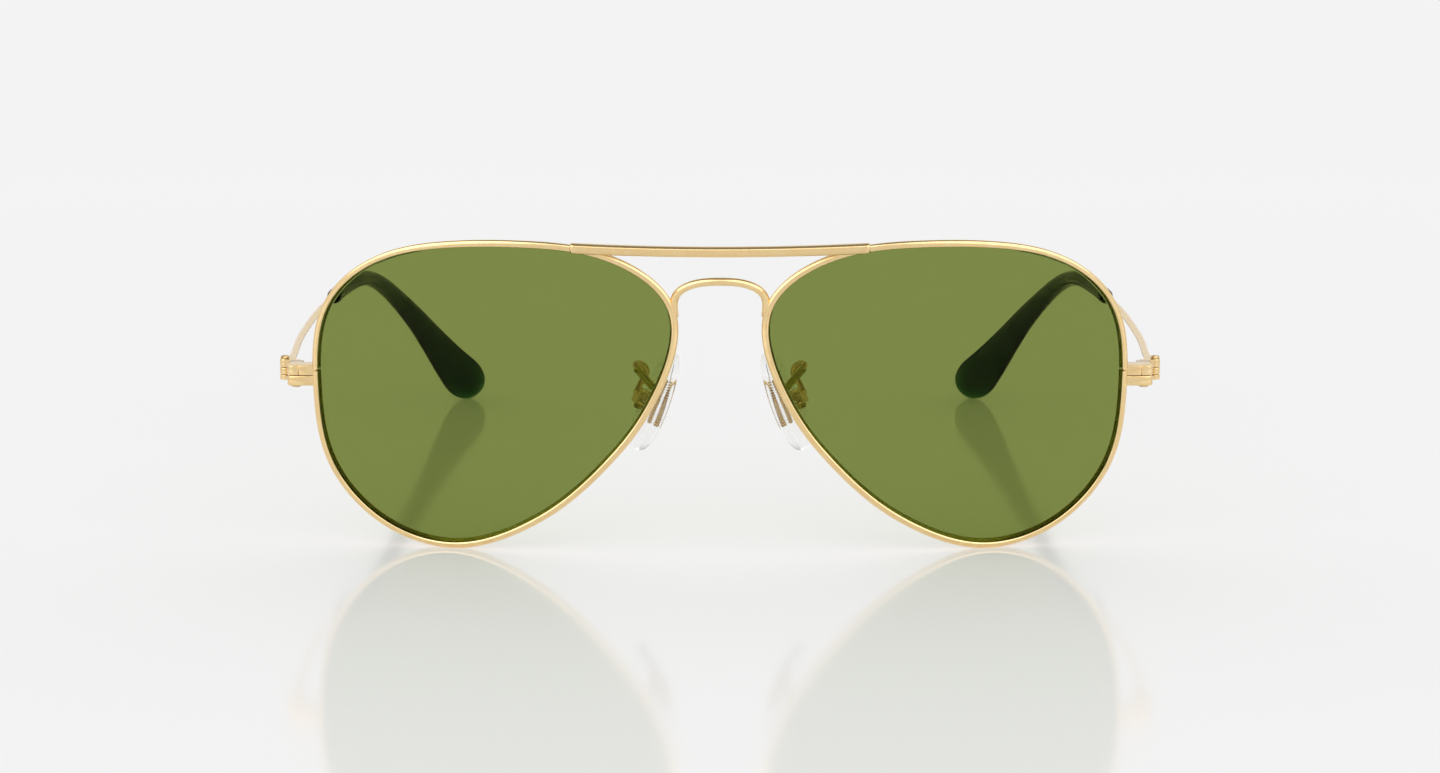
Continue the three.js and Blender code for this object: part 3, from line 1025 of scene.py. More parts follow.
# ---------------------------------------- outline shared by rims and lenses
class LensOutline:
    """Outline of the left lens as a closed cubic B-spline, and its place on the lens sphere."""

    CONTROLS = [
        (-25, -1.75), (-19.5, -8.75), (-12.75, -16), (-5.5, -21.25), (5.75, -26.5),
        (18.5, -23.5), (27.75, -13), (28.5, -0.25), (28.5, 14), (18, 23),
        (5.5, 25), (-5.75, 25.25), (-18.5, 24.25), (-31.75, 15),
    ]
    TEMPLE_SPAN = (6.0, 7.0)
    HALVINGS = 30

    def at(self, t: float) -> tuple[Vector, Vector, float]:
        """Evaluates the outline.

        Args:
            t: Parameter, one unit per control point.

        Returns:
            Point, outward unit normal and speed.
        """
        count = len(self.CONTROLS)
        first = math.floor(t)
        s = t - first
        weights = [(1 - s) ** 3 / 6, (3 * s**3 - 6 * s**2 + 4) / 6, 0.0, s**3 / 6]
        weights[2] = 1 - weights[0] - weights[1] - weights[3]
        slopes = [-((1 - s) ** 2) / 2, (3 * s**2 - 4 * s) / 2, 0.0, s**2 / 2]
        slopes[2] = -slopes[0] - slopes[1] - slopes[3]
        point, tangent = Vector((0, 0)), Vector((0, 0))
        for k in range(4):
            control = Vector(self.CONTROLS[(first + k) % count])
            point += control * weights[k]
            tangent += control * slopes[k]
        speed = tangent.length
        return point, Vector((tangent.y, -tangent.x)) / speed, speed

    def at_height(self, height: float) -> float:
        """Finds where the temple side of the outline crosses a height.

        Args:
            height: Height above the middle of the lens.

        Returns:
            Parameter of the crossing.
        """
        low, high = self.TEMPLE_SPAN
        for _ in range(self.HALVINGS):
            middle = (low + high) / 2
            if self.at(middle)[0].y < height:
                low = middle
            else:
                high = middle
        return low

    @staticmethod
    def on_sphere(x: float, y: float, n: float) -> Vector:
        """Places a point of the left lens on the front.

        Args:
            x: Distance across the lens, towards the temple.
            y: Height on the lens.
            n: Distance forwards along its normal.

        Returns:
            The place, in the drawing's frame.
        """
        scale = (LENS_SPHERE + n) / LENS_SPHERE
        forward = math.sqrt(LENS_SPHERE**2 - x**2 - y**2) * scale - LENS_SPHERE
        across = x * scale
        return of_front(
            Vector((
                LENS_CENTRE_X + across * math.cos(WRAP) + forward * math.sin(WRAP),
                across * math.sin(WRAP) - forward * math.cos(WRAP),
                y * scale,
            ))
        )

    def beside(self, t: float, r: float, n: float) -> Vector:
        """Places a point beside the outline of the left lens.

        Args:
            t: Parameter of the outline.
            r: Distance outside the outline.
            n: Distance forwards along the normal of the lens.

        Returns:
            The place, in the drawing's frame.
        """
        point, normal, _ = self.at(t)
        return self.on_sphere(point.x + normal.x * r, point.y + normal.y * r, n)


OUTLINE = LensOutline()


# ---------------------------------------- sub-assemblies
@dataclass
class Rim:
    """Eyewire of channel section, open for the width of a saw cut at the closing joint."""

    side: Side
    half_width: float = 0.55
    half_depth: float = 0.95
    gap: float = 0.3
    groove_mouth: float = 0.58
    groove_floor: float = 0.16
    groove_reach: float = 0.12
    temple_relief: float = 0.2
    relief_reach: float = 26.0
    steps: int = 300

    def section(self, relief: float) -> list[tuple[float, float]]:
        """Draws the rounded section with the groove for the lens.

        Args:
            relief: Distance that the outer wall is drawn in.

        Returns:
            Outward and forward distances from the outline.
        """
        w, d = self.half_width, self.half_depth
        outer = w - relief
        return rounded([
            (outer, 0.0, 0.0),
            (outer, d * 0.72, 0.3),
            (outer * 0.42, d, 0.22),
            (-w * 0.62, d, 0.16),
            (-w, d * 0.78, 0.08),
            (-w, self.groove_mouth, 0.05),
            (self.groove_reach, self.groove_floor, 0.0),
            (self.groove_reach, -self.groove_floor, 0.0),
            (-w, -self.groove_mouth, 0.05),
            (-w, -d * 0.78, 0.08),
            (-w * 0.62, -d, 0.16),
            (outer * 0.42, -d, 0.22),
            (outer, -d * 0.72, 0.3),
        ])

    def build(self) -> Thing:
        """Sweeps the section along the outline of the lens.

        Returns:
            The rim.
        """
        split = OUTLINE.at_height(SPLIT_HEIGHT)
        half_gap = self.gap / 2 / OUTLINE.at(split)[2]
        start, end = split + half_gap, split + len(OUTLINE.CONTROLS) - half_gap
        rings = []
        for i in range(self.steps + 1):
            t = start + (end - start) * i / self.steps
            share = min(max(OUTLINE.at(t)[0].x / self.relief_reach, 0.0), 1.0)
            section = self.section(self.temple_relief * share**2 * (3 - 2 * share))
            rings.append(flipped([OUTLINE.beside(t, r, n) for r, n in section], self.side))
        return solid(f"rim_{self.side.tag}", loft(rings))

    def dress(self, shop: Workshop) -> None:
        """Builds the rim and gives it its gold plate.

        Args:
            shop: The workshop.
        """
        shop.dress(self.build(), Slot.GOLD, Body.FRONT.value, f"rim_{self.side.tag}")


@dataclass
class Lens:
    """Six-base lens with a bevel that sits in the groove of its rim."""

    side: Side
    thickness: float = 1.4
    inset: float = 0.58
    bevel_half: float = 0.48
    bevel_tip: float = 0.06
    edge_break: float = 0.06
    steps: int = 256
    rows: int = 14

    def ring(self, r: float, n: float, share: float = 1.0) -> Ring:
        """Draws one ring round the lens.

        Args:
            r: Distance outside the outline.
            n: Distance forwards along the normal.
            share: Size of the ring against its full size, about the middle of the lens.

        Returns:
            Points of the ring on this side.
        """
        points = []
        for i in range(self.steps):
            point, normal, _ = OUTLINE.at(i * len(OUTLINE.CONTROLS) / self.steps)
            at = (point + normal * r) * share
            points.append(OUTLINE.on_sphere(at.x, at.y, n))
        return flipped(points, self.side)

    def build(self) -> Thing:
        """Lays both faces in rings and joins them by the bevelled edge.

        Returns:
            The lens.
        """
        half = self.thickness / 2
        shares = [i / self.rows for i in range(1, self.rows)]
        rings = [self.ring(-self.inset, half, share) for share in shares]
        edge = [
            (-self.inset - self.edge_break, half), (-self.inset, half - self.edge_break),
            (-self.inset, self.bevel_half), (-self.bevel_tip, 0.0), (-self.inset, -self.bevel_half),
            (-self.inset, self.edge_break - half), (-self.inset - self.edge_break, -half),
        ]
        rings.extend(self.ring(r, n) for r, n in edge)
        rings.extend(self.ring(-self.inset, -half, share) for share in reversed(shares))
        shell = loft(rings, capped=False)
        count = self.steps
        for start, n in ((0, half), (len(shell.points) - count, -half)):
            middle = len(shell.points)
            shell.points.extend(flipped([OUTLINE.on_sphere(0, 0, n)], self.side))
            shell.faces.extend((start + j, start + (j + 1) % count, middle) for j in range(count))
        return solid(f"lens_{self.side.tag}", shell, 25)

    def dress(self, shop: Workshop) -> None:
        """Builds the lens and gives it its green glass.

        Args:
            shop: The workshop.
        """
        shop.dress(self.build(), Slot.LENS, Body.FRONT.value, f"lens_{self.side.tag}")


@dataclass
class BrowBar:
    """Half-round bar soldered across the tops of both rims."""

    half_span: float = 23.3
    end_z: float = 24.95
    mid_z: float = 24.33
    half_height: float = 0.82
    depth: float = 1.05
    back_y: float = 1.62
    end_round: float = 0.5
    end_size: float = 0.7
    steps: int = 90

    def build(self) -> Thing:
        """Sweeps a half-round section along the bow of the bar.

        Returns:
            The bar.
        """
        h, d = self.half_height, self.depth
        section = rounded([
            (0.0, h, 0.16), (-d * 0.6, h, 0.24), (-d, h * 0.6, 0.26), (-d, -h * 0.3, 0.06),
            (-d * 0.8, -h * 0.84, 0.1), (-d * 0.55, -h, 0.1), (0.0, -h, 0.16),
        ], 5)
        rings = []
        stations = [math.sin(math.pi * (i / self.steps - 0.5)) for i in range(self.steps + 1)]
        for share in stations:
            x = self.half_span * share
            bow = self.mid_z + (self.end_z - self.mid_z) * share**2
            left = (self.half_span - abs(x)) / self.end_round
            swell = math.sqrt(max(0.0, 1 - (1 - min(left, 1.0)) ** 2))
            size = self.end_size + (1 - self.end_size) * swell
            places = (Vector((x, self.back_y + y * size, bow + z * size)) for y, z in section)
            rings.append([of_front(place) for place in places])
        return solid("brow_bar", loft(rings), 40)

    def dress(self, shop: Workshop) -> None:
        """Builds the bar and gives it its gold plate.

        Args:
            shop: The workshop.
        """
        shop.dress(self.build(), Slot.GOLD, Body.FRONT.value, "brow_bar")


@dataclass
class Bridge:
    """Arched wire whose ends run down the nasal sides of both rims, where they are soldered."""

    radius: float = 0.65
    half: tuple[tuple[float, float, float], ...] = (
        (3.2, 1.6, 19.2), (5.3, 1.85, 18.45), (6.6, 2.1, 17.4),
        (7.12, 2.25, 16.2), (7.2, 2.3, 14.9), (7.1, 2.3, 13.5),
    )
    crown: tuple[float, float, float] = (0.0, 1.5, 19.45)

    def path(self) -> Ring:
        """Draws the arch from the wearer's right to the left.

        Returns:
            Evenly spaced points, in the drawing's frame.
        """
        left = [Vector(p) for p in self.half]
        right = flipped(left[::-1], Side.RIGHT)
        return [of_front(p) for p in catmull_rom([*right, Vector(self.crown), *left], 150)]

    def dress(self, shop: Workshop) -> None:
        """Draws the wire and gives it its gold plate.

        Args:
            shop: The workshop.
        """
        wire = shop.wire.draw("bridge", self.path(), self.radius, 32)
        shop.dress(wire, Slot.GOLD, Body.FRONT.value, "bridge")


@dataclass
class EndPiece:
    """Two closing blocks that pinch the rim, with the hinge bracket soldered behind them."""

    side: Side
    inner_x: float = 63.95
    outer_x: float = 68.6
    step_x: float = 66.4
    front_y: float = -0.9
    step_y: float = 2.6
    back_y: float = 4.2
    bottom_z: float = 26.45
    seam_z: float = 28.05
    top_z: float = 29.65
    bevel: float = 0.35
    seam_gap: float = 0.05
    broken_edge: float = 0.13
    score_x: float = 66.75
    score_width: float = 0.1
    score_depth: float = 0.14

    def block_outline(self) -> list[tuple[float, float]]:
        """Draws the plan of a closing block.

        Returns:
            Corners in millimetres, for the left.
        """
        b = self.bevel
        return [
            (self.inner_x, self.front_y), (self.outer_x - b * 2, self.front_y),
            (self.outer_x - b * 0.6, self.front_y + b * 0.6), (self.outer_x, self.front_y + b * 2),
            (self.outer_x, self.back_y), (self.step_x, self.back_y),
            (self.step_x, self.step_y), (self.inner_x, self.step_y),
        ]

    def build_block(self, name: str, bottom: float, top: float) -> Thing:
        """Builds one closing block.

        Args:
            name: Name of the piece.
            bottom: Height of its lower face.
            top: Height of its upper face.

        Returns:
            The block, before its edges are broken.
        """
        return solid(name, prism(self.block_outline(), bottom, top).on(self.side))

    def dress(self, shop: Workshop) -> None:
        """Builds the lower and the upper block, with a score down the front of the upper one.

        Args:
            shop: The workshop.
        """
        tag = self.side.tag
        low_name, high_name = f"closing_block_lower_{tag}", f"closing_block_upper_{tag}"
        lower = self.build_block(low_name, self.bottom_z, self.seam_z - self.seam_gap)
        upper = self.build_block(high_name, self.seam_z + self.seam_gap, self.top_z)
        score = block(
            (self.score_x, self.front_y - 1, self.seam_z - 1),
            (self.score_x + self.score_width, self.front_y + self.score_depth, self.top_z + 1),
        )
        upper = combined(upper, [solid("score", score.on(self.side))], "DIFFERENCE")
        for piece, name in ((lower, low_name), (upper, high_name)):
            shop.dress(softened(piece, self.broken_edge), Slot.GOLD, Body.FRONT.value, name)


@dataclass
class Hinge:
    """Three-knuckle hinge: two knuckles on the bracket and one on the temple."""

    side: Side
    x: float = 69.6
    y: float = 5.8
    radius: float = 0.85
    bore: float = 0.4
    low_bottom: float = 26.3
    low_top: float = 27.05
    mid_bottom: float = 27.15
    mid_top: float = 28.25
    high_bottom: float = 28.35
    high_top: float = 29.65
    plate_inner: float = 67.0
    plate_outer: float = 68.6
    plate_front: float = 4.3
    plate_back: float = 4.75
    shank_end: float = 3.2
    shank_half: float = 0.55
    ferrule_radius: float = 0.95
    ferrule_bore: float = 0.66
    ferrule_length: float = 5.2
    ferrule_hole: float = 4.2
    edge: float = 0.09
    bore_wall: float = 0.12
    web_share: float = 0.93

    def knuckle(self, bottom: float, top: float) -> Shell:
        """Turns a bored barrel with rounded rims.

        Args:
            bottom: Height of its lower face.
            top: Height of its upper face.

        Returns:
            The barrel.
        """
        r, e = self.radius, self.edge
        profile = [
            (self.bore, bottom), (r - e, bottom), (r - e * 0.3, bottom + e * 0.3),
            (r, bottom + e), (r, top - e), (r - e * 0.3, top - e * 0.3),
            (r - e, top), (self.bore, top),
        ]
        return lathe(profile, 36).moved(lambda p: p + Vector((self.x, self.y, 0)))

    def web(self, bottom: float, top: float) -> Shell:
        """Draws a web from the plate to a knuckle that stops at the wall of its bore.

        Args:
            bottom: Height of the knuckle's lower face.
            top: Height of the knuckle's upper face.

        Returns:
            The web.
        """
        r = self.radius * self.web_share
        wall = self.bore + self.bore_wall
        x, y = self.x, self.y
        outline = [
            (self.plate_inner, self.plate_front), (self.plate_outer, self.plate_front),
            (x + r, y - 0.1), (x + wall, y - 0.1), (x, y - wall), (x - wall, y),
            (x, y + wall), (x, y + r), (self.plate_inner, self.plate_back),
        ]
        return prism(outline, bottom + 0.02, top - 0.02)

    def build_bracket(self) -> Thing:
        """Joins the plate, the webs and the two knuckles of the front.

        Returns:
            The bracket.
        """
        plate = block(
            (self.plate_inner, self.plate_front, self.low_bottom),
            (self.plate_outer, self.plate_back, self.high_top),
        )
        bracket = solid(f"hinge_bracket_{self.side.tag}", plate.on(self.side))
        extra = []
        for span in ((self.low_bottom, self.low_top), (self.high_bottom, self.high_top)):
            for shell in (self.web(*span), self.knuckle(*span)):
                extra.append(solid("knuckle", shell.on(self.side)))
        return combined(bracket, extra, "UNION")

    def build_temple_hinge(self) -> Thing:
        """Joins the middle knuckle, the flat shank and the round ferrule of the temple.

        Returns:
            The temple half of the hinge.
        """
        wall = self.bore + self.bore_wall
        shank = block(
            (self.x - self.shank_half, self.y + wall, self.mid_bottom + 0.01),
            (self.x + self.shank_half, self.y + self.shank_end + 0.4, self.mid_top - 0.01),
        )
        start, end = self.shank_end, self.shank_end + self.ferrule_length
        r, bore, floor = self.ferrule_radius, self.ferrule_bore, end - self.ferrule_hole
        profile = [
            (0.0, start), (r * 0.6, start), (r * 0.78, start + 0.12), (r * 0.95, start + 0.6),
            (r, start + 1.0), (r, end - 0.12), (r - 0.12, end), (bore, end),
            (bore, floor), (0.0, floor),
        ]
        middle = (self.mid_bottom + self.mid_top) / 2
        ferrule = lathe(profile, 36).moved(
            lambda p: Vector((self.x + p.x, self.y + p.z, middle + p.y))
        )
        body = solid(f"temple_hinge_{self.side.tag}", shank.on(self.side))
        knuckle = solid("knuckle", self.knuckle(self.mid_bottom, self.mid_top).on(self.side))
        return combined(body, [knuckle, solid("ferrule", ferrule.on(self.side))], "UNION")

    def dress(self, shop: Workshop) -> None:
        """Builds both halves of the hinge and puts each on its body.

        Args:
            shop: The workshop.
        """
        tag = self.side.tag
        shop.dress(self.build_bracket(), Slot.GOLD, Body.FRONT.value, f"hinge_bracket_{tag}")
        body = Body.TEMPLE.on(self.side)
        shop.dress(self.build_temple_hinge(), Slot.GOLD, body, f"temple_hinge_{tag}")


@dataclass
class Temple:
    """Round wire brazed in the hinge, and the acetate tip pushed over its bent end."""

    side: Side
    wire_radius: float = 0.6
    sleeve_bore: float = 0.62
    sleeve_start_mm: float = 61.0
    sleeve_depth: float = 4.0
    mouth_step: float = 0.1
    mouth_depth: float = 0.08
    wire_end: float = 0.9
    turn: float = math.radians(30)
    route: tuple[tuple[float, float, float], ...] = (
        (69.6, 10.4, 27.7), (69.75, 20, 27.75), (70.2, 32, 27.95), (70.15, 45, 28.15),
        (69.6, 58, 28.45), (68.4, 70, 28.85), (67.2, 79, 29.2), (65.4, 88, 29.35),
        (63.9, 95, 28.3), (62.1, 101, 26), (60, 107, 22.5), (57.2, 112.5, 17.9),
        (54.2, 117.5, 12.6), (51, 121.8, 7.3), (48, 125.4, 2.9), (46.9, 126.8, 1),
    )
    height_curve: tuple[tuple[float, float], ...] = ((0, 1.35), (0.5, 1.35), (0.68, 1.5), (1, 4.7))
    half_width: float = 1.35
    width_gain: float = 0.2
    ring_spread: float = 1.15
    round_from: float = 0.9
    round_length: float = 0.105
    lip_draw: float = 0.09
    lip_length: float = 0.004
    samples: int = 700
    tip_rings: int = 110
    tip_sides: int = 40

    def path(self) -> Ring:
        """Evenly spaced points of the whole route."""
        return catmull_rom([Vector(p) for p in self.route], self.samples)

    def half_height(self, share: float) -> float:
        """Reads the half height of the tip from its cubic curve.

        Args:
            share: Share of the length of the tip.

        Returns:
            Half height at that share.
        """

        def mixed(values: Sequence[float], s: float) -> float:
            """Cubic mix of four values."""
            a, b, c, d = values
            return a * (1 - s) ** 3 + 3 * b * s * (1 - s) ** 2 + 3 * c * s**2 * (1 - s) + d * s**3

        shares, heights = zip(*self.height_curve)
        low, high = 0.0, 1.0
        for _ in range(24):
            s = (low + high) / 2
            low, high = (s, high) if mixed(shares, s) < share else (low, s)
        return mixed(heights, low)

    def ring_at(self, path: Ring, share: float, wide: float, tall: float, turn: float) -> Ring:
        """Draws a section of the tip across the route.

        Args:
            path: Evenly spaced points of the route.
            share: Share of the length of the route.
            wide: Half width of the section.
            tall: Half height of the section.
            turn: Angle that the section is turned about the route.

        Returns:
            Points of the section, drawn for the left.
        """
        place = share * (len(path) - 1)
        low = min(int(place), len(path) - 2)
        centre = path[low].lerp(path[low + 1], place - low)
        along = (path[min(low + 2, len(path) - 1)] - path[max(low - 1, 0)]).normalized()
        across = along.cross(Vector((0, 0, 1))).normalized()
        up = across.cross(along).normalized()
        spin = Matrix.Rotation(turn, 3, across.cross(up))
        return ellipse(centre, spin @ across, spin @ up, wide, tall, self.tip_sides)

    def build_tip(self) -> Thing:
        """Lofts the tip round the wire: round at its mouth and a flat paddle at its end.

        Returns:
            The tip.
        """
        path = self.path()
        length = sum((b - a).length for a, b in zip(path, path[1:]))
        start = self.sleeve_start_mm / length
        rings = []
        bore, mouth = self.sleeve_bore, self.sleeve_bore + self.mouth_step
        for depth, radius in ((self.sleeve_depth, bore), (self.mouth_depth, bore), (0.0, mouth)):
            rings.append(self.ring_at(path, start + depth / length, radius, radius, 0.0))
        for i in range(self.tip_rings + 1):
            share = math.sin(math.pi / 2 * i / self.tip_rings) ** self.ring_spread
            past = max(0.0, share - self.round_from) / self.round_length
            end = math.sqrt(max(0.0, 1 - past**2))
            lip = 1 - self.lip_draw * max(0.0, 1 - share / self.lip_length)
            wide = (self.half_width + self.width_gain * share) * end * lip
            tall = self.half_height(share) * end * lip
            at = start + (1 - start) * share
            rings.append(self.ring_at(path, at, wide, tall, self.turn * share**2))
        return solid(f"temple_tip_{self.side.tag}", loft(rings).on(self.side), 40)

    def build_wire(self, shop: Workshop) -> Thing:
        """Draws the wire from the ferrule to its end inside the tip.

        Args:
            shop: The workshop.

        Returns:
            The wire.
        """
        path = self.path()
        kept = flipped(path[: int(len(path) * self.wire_end) : 3], self.side)
        return shop.wire.draw(f"temple_wire_{self.side.tag}", kept, self.wire_radius)

    def dress(self, shop: Workshop) -> None:
        """Builds the wire and the tip and dresses both.

        Args:
            shop: The workshop.
        """
        body = Body.TEMPLE.on(self.side)
        tag = self.side.tag
        shop.dress(self.build_wire(shop), Slot.GOLD, body, f"temple_wire_{tag}")
        shop.dress(self.build_tip(), Slot.TIP, body, f"temple_tip_{tag}")


@dataclass
class NosePad:
    """Silicone pad with a knurled metal insert, rocking in a small box at the end of a bent arm."""

    side: Side
    length: float = 16.6
    width: float = 8.2
    thickness: float = 2.8
    centre: tuple[float, float, float] = (10.4, 0.6, 23.8)
    long_axis: tuple[float, float, float] = (-6.1, 1.5, 15.4)
    splay: float = math.radians(27)
    insert_length: float = 7.4
    insert_width: float = 0.5
    insert_thickness: float = 0.4
    insert_level: float = 1.15
    lug_width: float = 1.3
    lug_height: float = 1.1
    pivot: float = -2.5
    bore: float = 0.38
    box_height: float = 2.5
    box_width: float = 2.2
    box_depth: float = 2.0
    box_wall: float = 0.55
    box_back: float = 0.25
    arm_radius: float = 0.5
    arm_route: tuple[tuple[float, float, float], ...] = (
        (10.2, -5.0, 26.6), (11.2, -4.2, 27.6), (12.4, -3.2, 28.8),
        (13.2, -2.2, 29.6), (13.3, -1.0, 30.0), (12.6, -0.1, 29.9),
        (11.8, 0.6, 29.1), (11.7, 1.0, 28.1), (12.3, 1.3, 27.1),
    )
    foot: tuple[tuple[float, float, float], ...] = ((10.0, -5.15, 26.4), (13.2, -2.5, 29.6))
    foot_width: float = 1.15
    foot_thickness: float = 0.7
    ridge_pitch: float = 0.42
    edge: float = 0.06
    box_edge: float = 0.12
    foot_edge: float = 0.08
    box_lead: float = 0.15
    lug_back: float = 0.55
    arm_end: tuple[float, float] = (0.2, 0.3)
    ridge_radius: float = 0.13
    ridge_proud: float = 0.03
    pole_share: float = 0.12
    girth_power: float = 0.8
    taper: float = 0.16
    face_share: float = 0.62
    crown_power: float = 0.7
    pad_rings: int = 40
    pad_sides: int = 48

    def basis(self) -> Matrix:
        """Works out the pad's own directions: x across it, y towards the nose, z along it.

        Returns:
            Matrix from the pad's directions to the drawing's, for the left.
        """
        along = Vector(self.long_axis).normalized()
        nose = Vector((-math.cos(self.splay), math.sin(self.splay), 0))
        nose = (nose - along * nose.dot(along)).normalized()
        wide = nose.cross(along)
        turn = Matrix((wide, nose, along)).transposed().to_4x4()
        return Matrix.Translation(Vector(self.centre)) @ turn

    def out(self, point: Vector) -> Vector:
        """Place in the drawing, on this side, of a point in the pad's own directions."""
        at = self.basis() @ point
        return Vector((at.x * self.side.value, at.y, at.z))

    def direction(self, vector: Vector) -> Vector:
        """Direction in the drawing, on this side, of a direction of the pad."""
        at = self.basis().to_3x3() @ vector
        return Vector((at.x * self.side.value, at.y, at.z))

    def build_pad(self) -> Thing:
        """Lofts the teardrop with a flatter back and a crowned face.

        Returns:
            The pad.
        """
        rings = []
        for i in range(self.pad_rings + 1):
            share = (i + self.pole_share) / (self.pad_rings + 2 * self.pole_share)
            angle = math.pi * (share - 0.5)
            z = self.length / 2 * math.sin(angle)
            girth = math.cos(angle) ** self.girth_power
            half = self.width / 2 * girth * (1 - self.taper * math.sin(angle))
            crown = self.thickness * girth**self.crown_power
            ring = []
            for j in range(self.pad_sides):
                turn = math.tau * j / self.pad_sides
                side = self.face_share if math.sin(turn) > 0 else 1 - self.face_share
                level = crown * side * math.sin(turn)
                ring.append(self.out(Vector((half * math.cos(turn), level, z))))
            rings.append(ring)
        return solid(f"nose_pad_{self.side.tag}", loft(rings), 60)

    def build_insert(self, shop: Workshop) -> Thing:
        """Makes the plate with its lug and cuts ridges along both edges.

        Args:
            shop: The workshop.

        Returns:
            The insert.
        """
        half_l, half_w = self.insert_length / 2, self.insert_width / 2
        half_t, level = self.insert_thickness / 2, self.insert_level
        plate = block((-half_w, level - half_t, -half_l), (half_w, level + half_t, half_l))
        lug = block(
            (-self.lug_width / 2, self.pivot - self.lug_back, -self.lug_height / 2),
            (self.lug_width / 2, level, self.lug_height / 2),
        )
        insert = solid(f"pad_insert_{self.side.tag}", plate.moved(self.out))
        insert = combined(insert, [solid("lug", lug.moved(self.out))], "UNION")
        insert = softened(insert, self.edge)
        count = int(self.insert_length / self.ridge_pitch)
        nose = self.direction(Vector((0, 1, 0)))
        seats = []
        for i in range(count):
            z = (i - (count - 1) / 2) * self.ridge_pitch
            seats.extend((self.out(Vector((x, level, z))), nose) for x in (-half_w, half_w))
        ridge_length = self.insert_thickness + 2 * self.ridge_proud
        ridges = shop.knurler.cut("ridges", seats, self.ridge_radius, ridge_length)
        build = bmesh.new()
        build.from_mesh(insert.data)
        build.from_mesh(ridges.data)
        build.to_mesh(insert.data)
        build.free()
        bpy.data.objects.remove(ridges)
        return insert

    def build_box(self) -> Thing:
        """Makes the open box that the lug turns in.

        Returns:
            The box.
        """
        half_w, half_h = self.box_width / 2, self.box_height / 2
        back = self.pivot - self.box_depth / 2
        nose = back + self.box_depth - self.box_lead
        body = block((-half_w, back, -half_h), (half_w, nose, half_h))
        slot = block(
            (-self.box_width, back + self.box_back, -half_h + self.box_wall),
            (self.box_width, nose + 1, half_h - self.box_wall),
        )
        thing = solid(f"pad_box_{self.side.tag}", body.moved(self.out))
        thing = combined(thing, [solid("slot", slot.moved(self.out))], "DIFFERENCE")
        return softened(thing, self.box_edge)

    def build_foot(self) -> Thing:
        """Makes the part of the arm that is pressed flat, between the rim and its loop.

        Returns:
            The flat strip.
        """
        low, high = (Vector(p) for p in self.foot)
        along = (high - low).normalized()
        front = Vector((0, -1, 0))
        front = (front - along * front.dot(along)).normalized() * self.foot_thickness / 2
        across = along.cross(front).normalized() * self.foot_width / 2
        corners = (-across - front, across - front, across + front, -across + front)
        shell = loft([[place + corner for corner in corners] for place in (low, high)])
        return softened(solid("foot", shell.on(self.side)), self.foot_edge)

    def build_arm(self, shop: Workshop) -> Thing:
        """Draws the arm from the rim round its loop to the back of the box.

        Args:
            shop: The workshop.

        Returns:
            The arm.
        """
        behind, above = self.arm_end
        end = self.basis() @ Vector((0, self.pivot - self.box_depth / 2 - behind, above))
        path = catmull_rom([*(Vector(p) for p in self.arm_route), end], 110)
        name = f"pad_arm_{self.side.tag}"
        arm = shop.wire.draw(name, flipped(path, self.side), self.arm_radius, 24)
        return combined(arm, [self.build_foot()], "UNION")

    def dress(self, shop: Workshop) -> None:
        """Builds every piece of the pad and puts it on its body.

        Args:
            shop: The workshop.
        """
        tag = self.side.tag
        body = Body.NOSE_PAD.on(self.side)
        shop.dress(self.build_pad(), Slot.PAD, body, f"nose_pad_{tag}")
        shop.dress(self.build_insert(shop), Slot.INSERT, body, f"pad_insert_{tag}")
        shop.dress(self.build_box(), Slot.GOLD, Body.FRONT.value, f"pad_box_{tag}")
        shop.dress(self.build_arm(shop), Slot.GOLD, Body.FRONT.value, f"pad_arm_{tag}")

    def screw_seat(self) -> tuple[Vector, Vector]:
        """Place under the head of the pad screw and the direction out of its head."""
        place = self.out(Vector((0, self.pivot, -self.box_height / 2 - 0.02)))
        return place, self.direction(Vector((0, 0, -1)))


@dataclass
class Screws:
    """Three kinds of slotted screw, two of each.

    The sizes are radius and height of the head, radius and length of the shank.
    """

    pads: Sequence[NosePad]
    closing: tuple[float, float, float] = (67.4, 1.7, 26.4)
    closing_sizes: tuple[float, ...] = (0.95, 0.5, 0.5, 3.3)
    hinge: tuple[float, float, float] = (69.6, 5.8, 29.7)
    hinge_sizes: tuple[float, ...] = (0.72, 0.4, 0.38, 3.3)
    pad_sizes: tuple[float, ...] = (0.75, 0.75, 0.33, 2.5)

    @staticmethod
    def both(place: tuple[float, float, float], out: float) -> list[Seat]:
        """Seats on both sides at a place drawn for the left, with the head up or down."""
        return [(flipped([Vector(place)], side)[0], Vector((0, 0, out))) for side in Side]

    def dress(self, shop: Workshop) -> None:
        """Sets every screw in its seat.

        Args:
            shop: The workshop.
        """
        kinds = {
            "closing_screw": (self.both(self.closing, -1), self.closing_sizes, 0.4),
            "hinge_screw": (self.both(self.hinge, 1), self.hinge_sizes, 1.1),
            "pad_screw": ([pad.screw_seat() for pad in self.pads], self.pad_sizes, 0.7),
        }
        for node, (seats, sizes, turn) in kinds.items():
            piece = shop.screws.put(f"{node}s", seats, sizes, turn)
            nodes = [f"{node}_{side.tag}" for side in Side]
            shop.dress(piece, Slot.SCREW, Body.FRONT.value, *nodes)


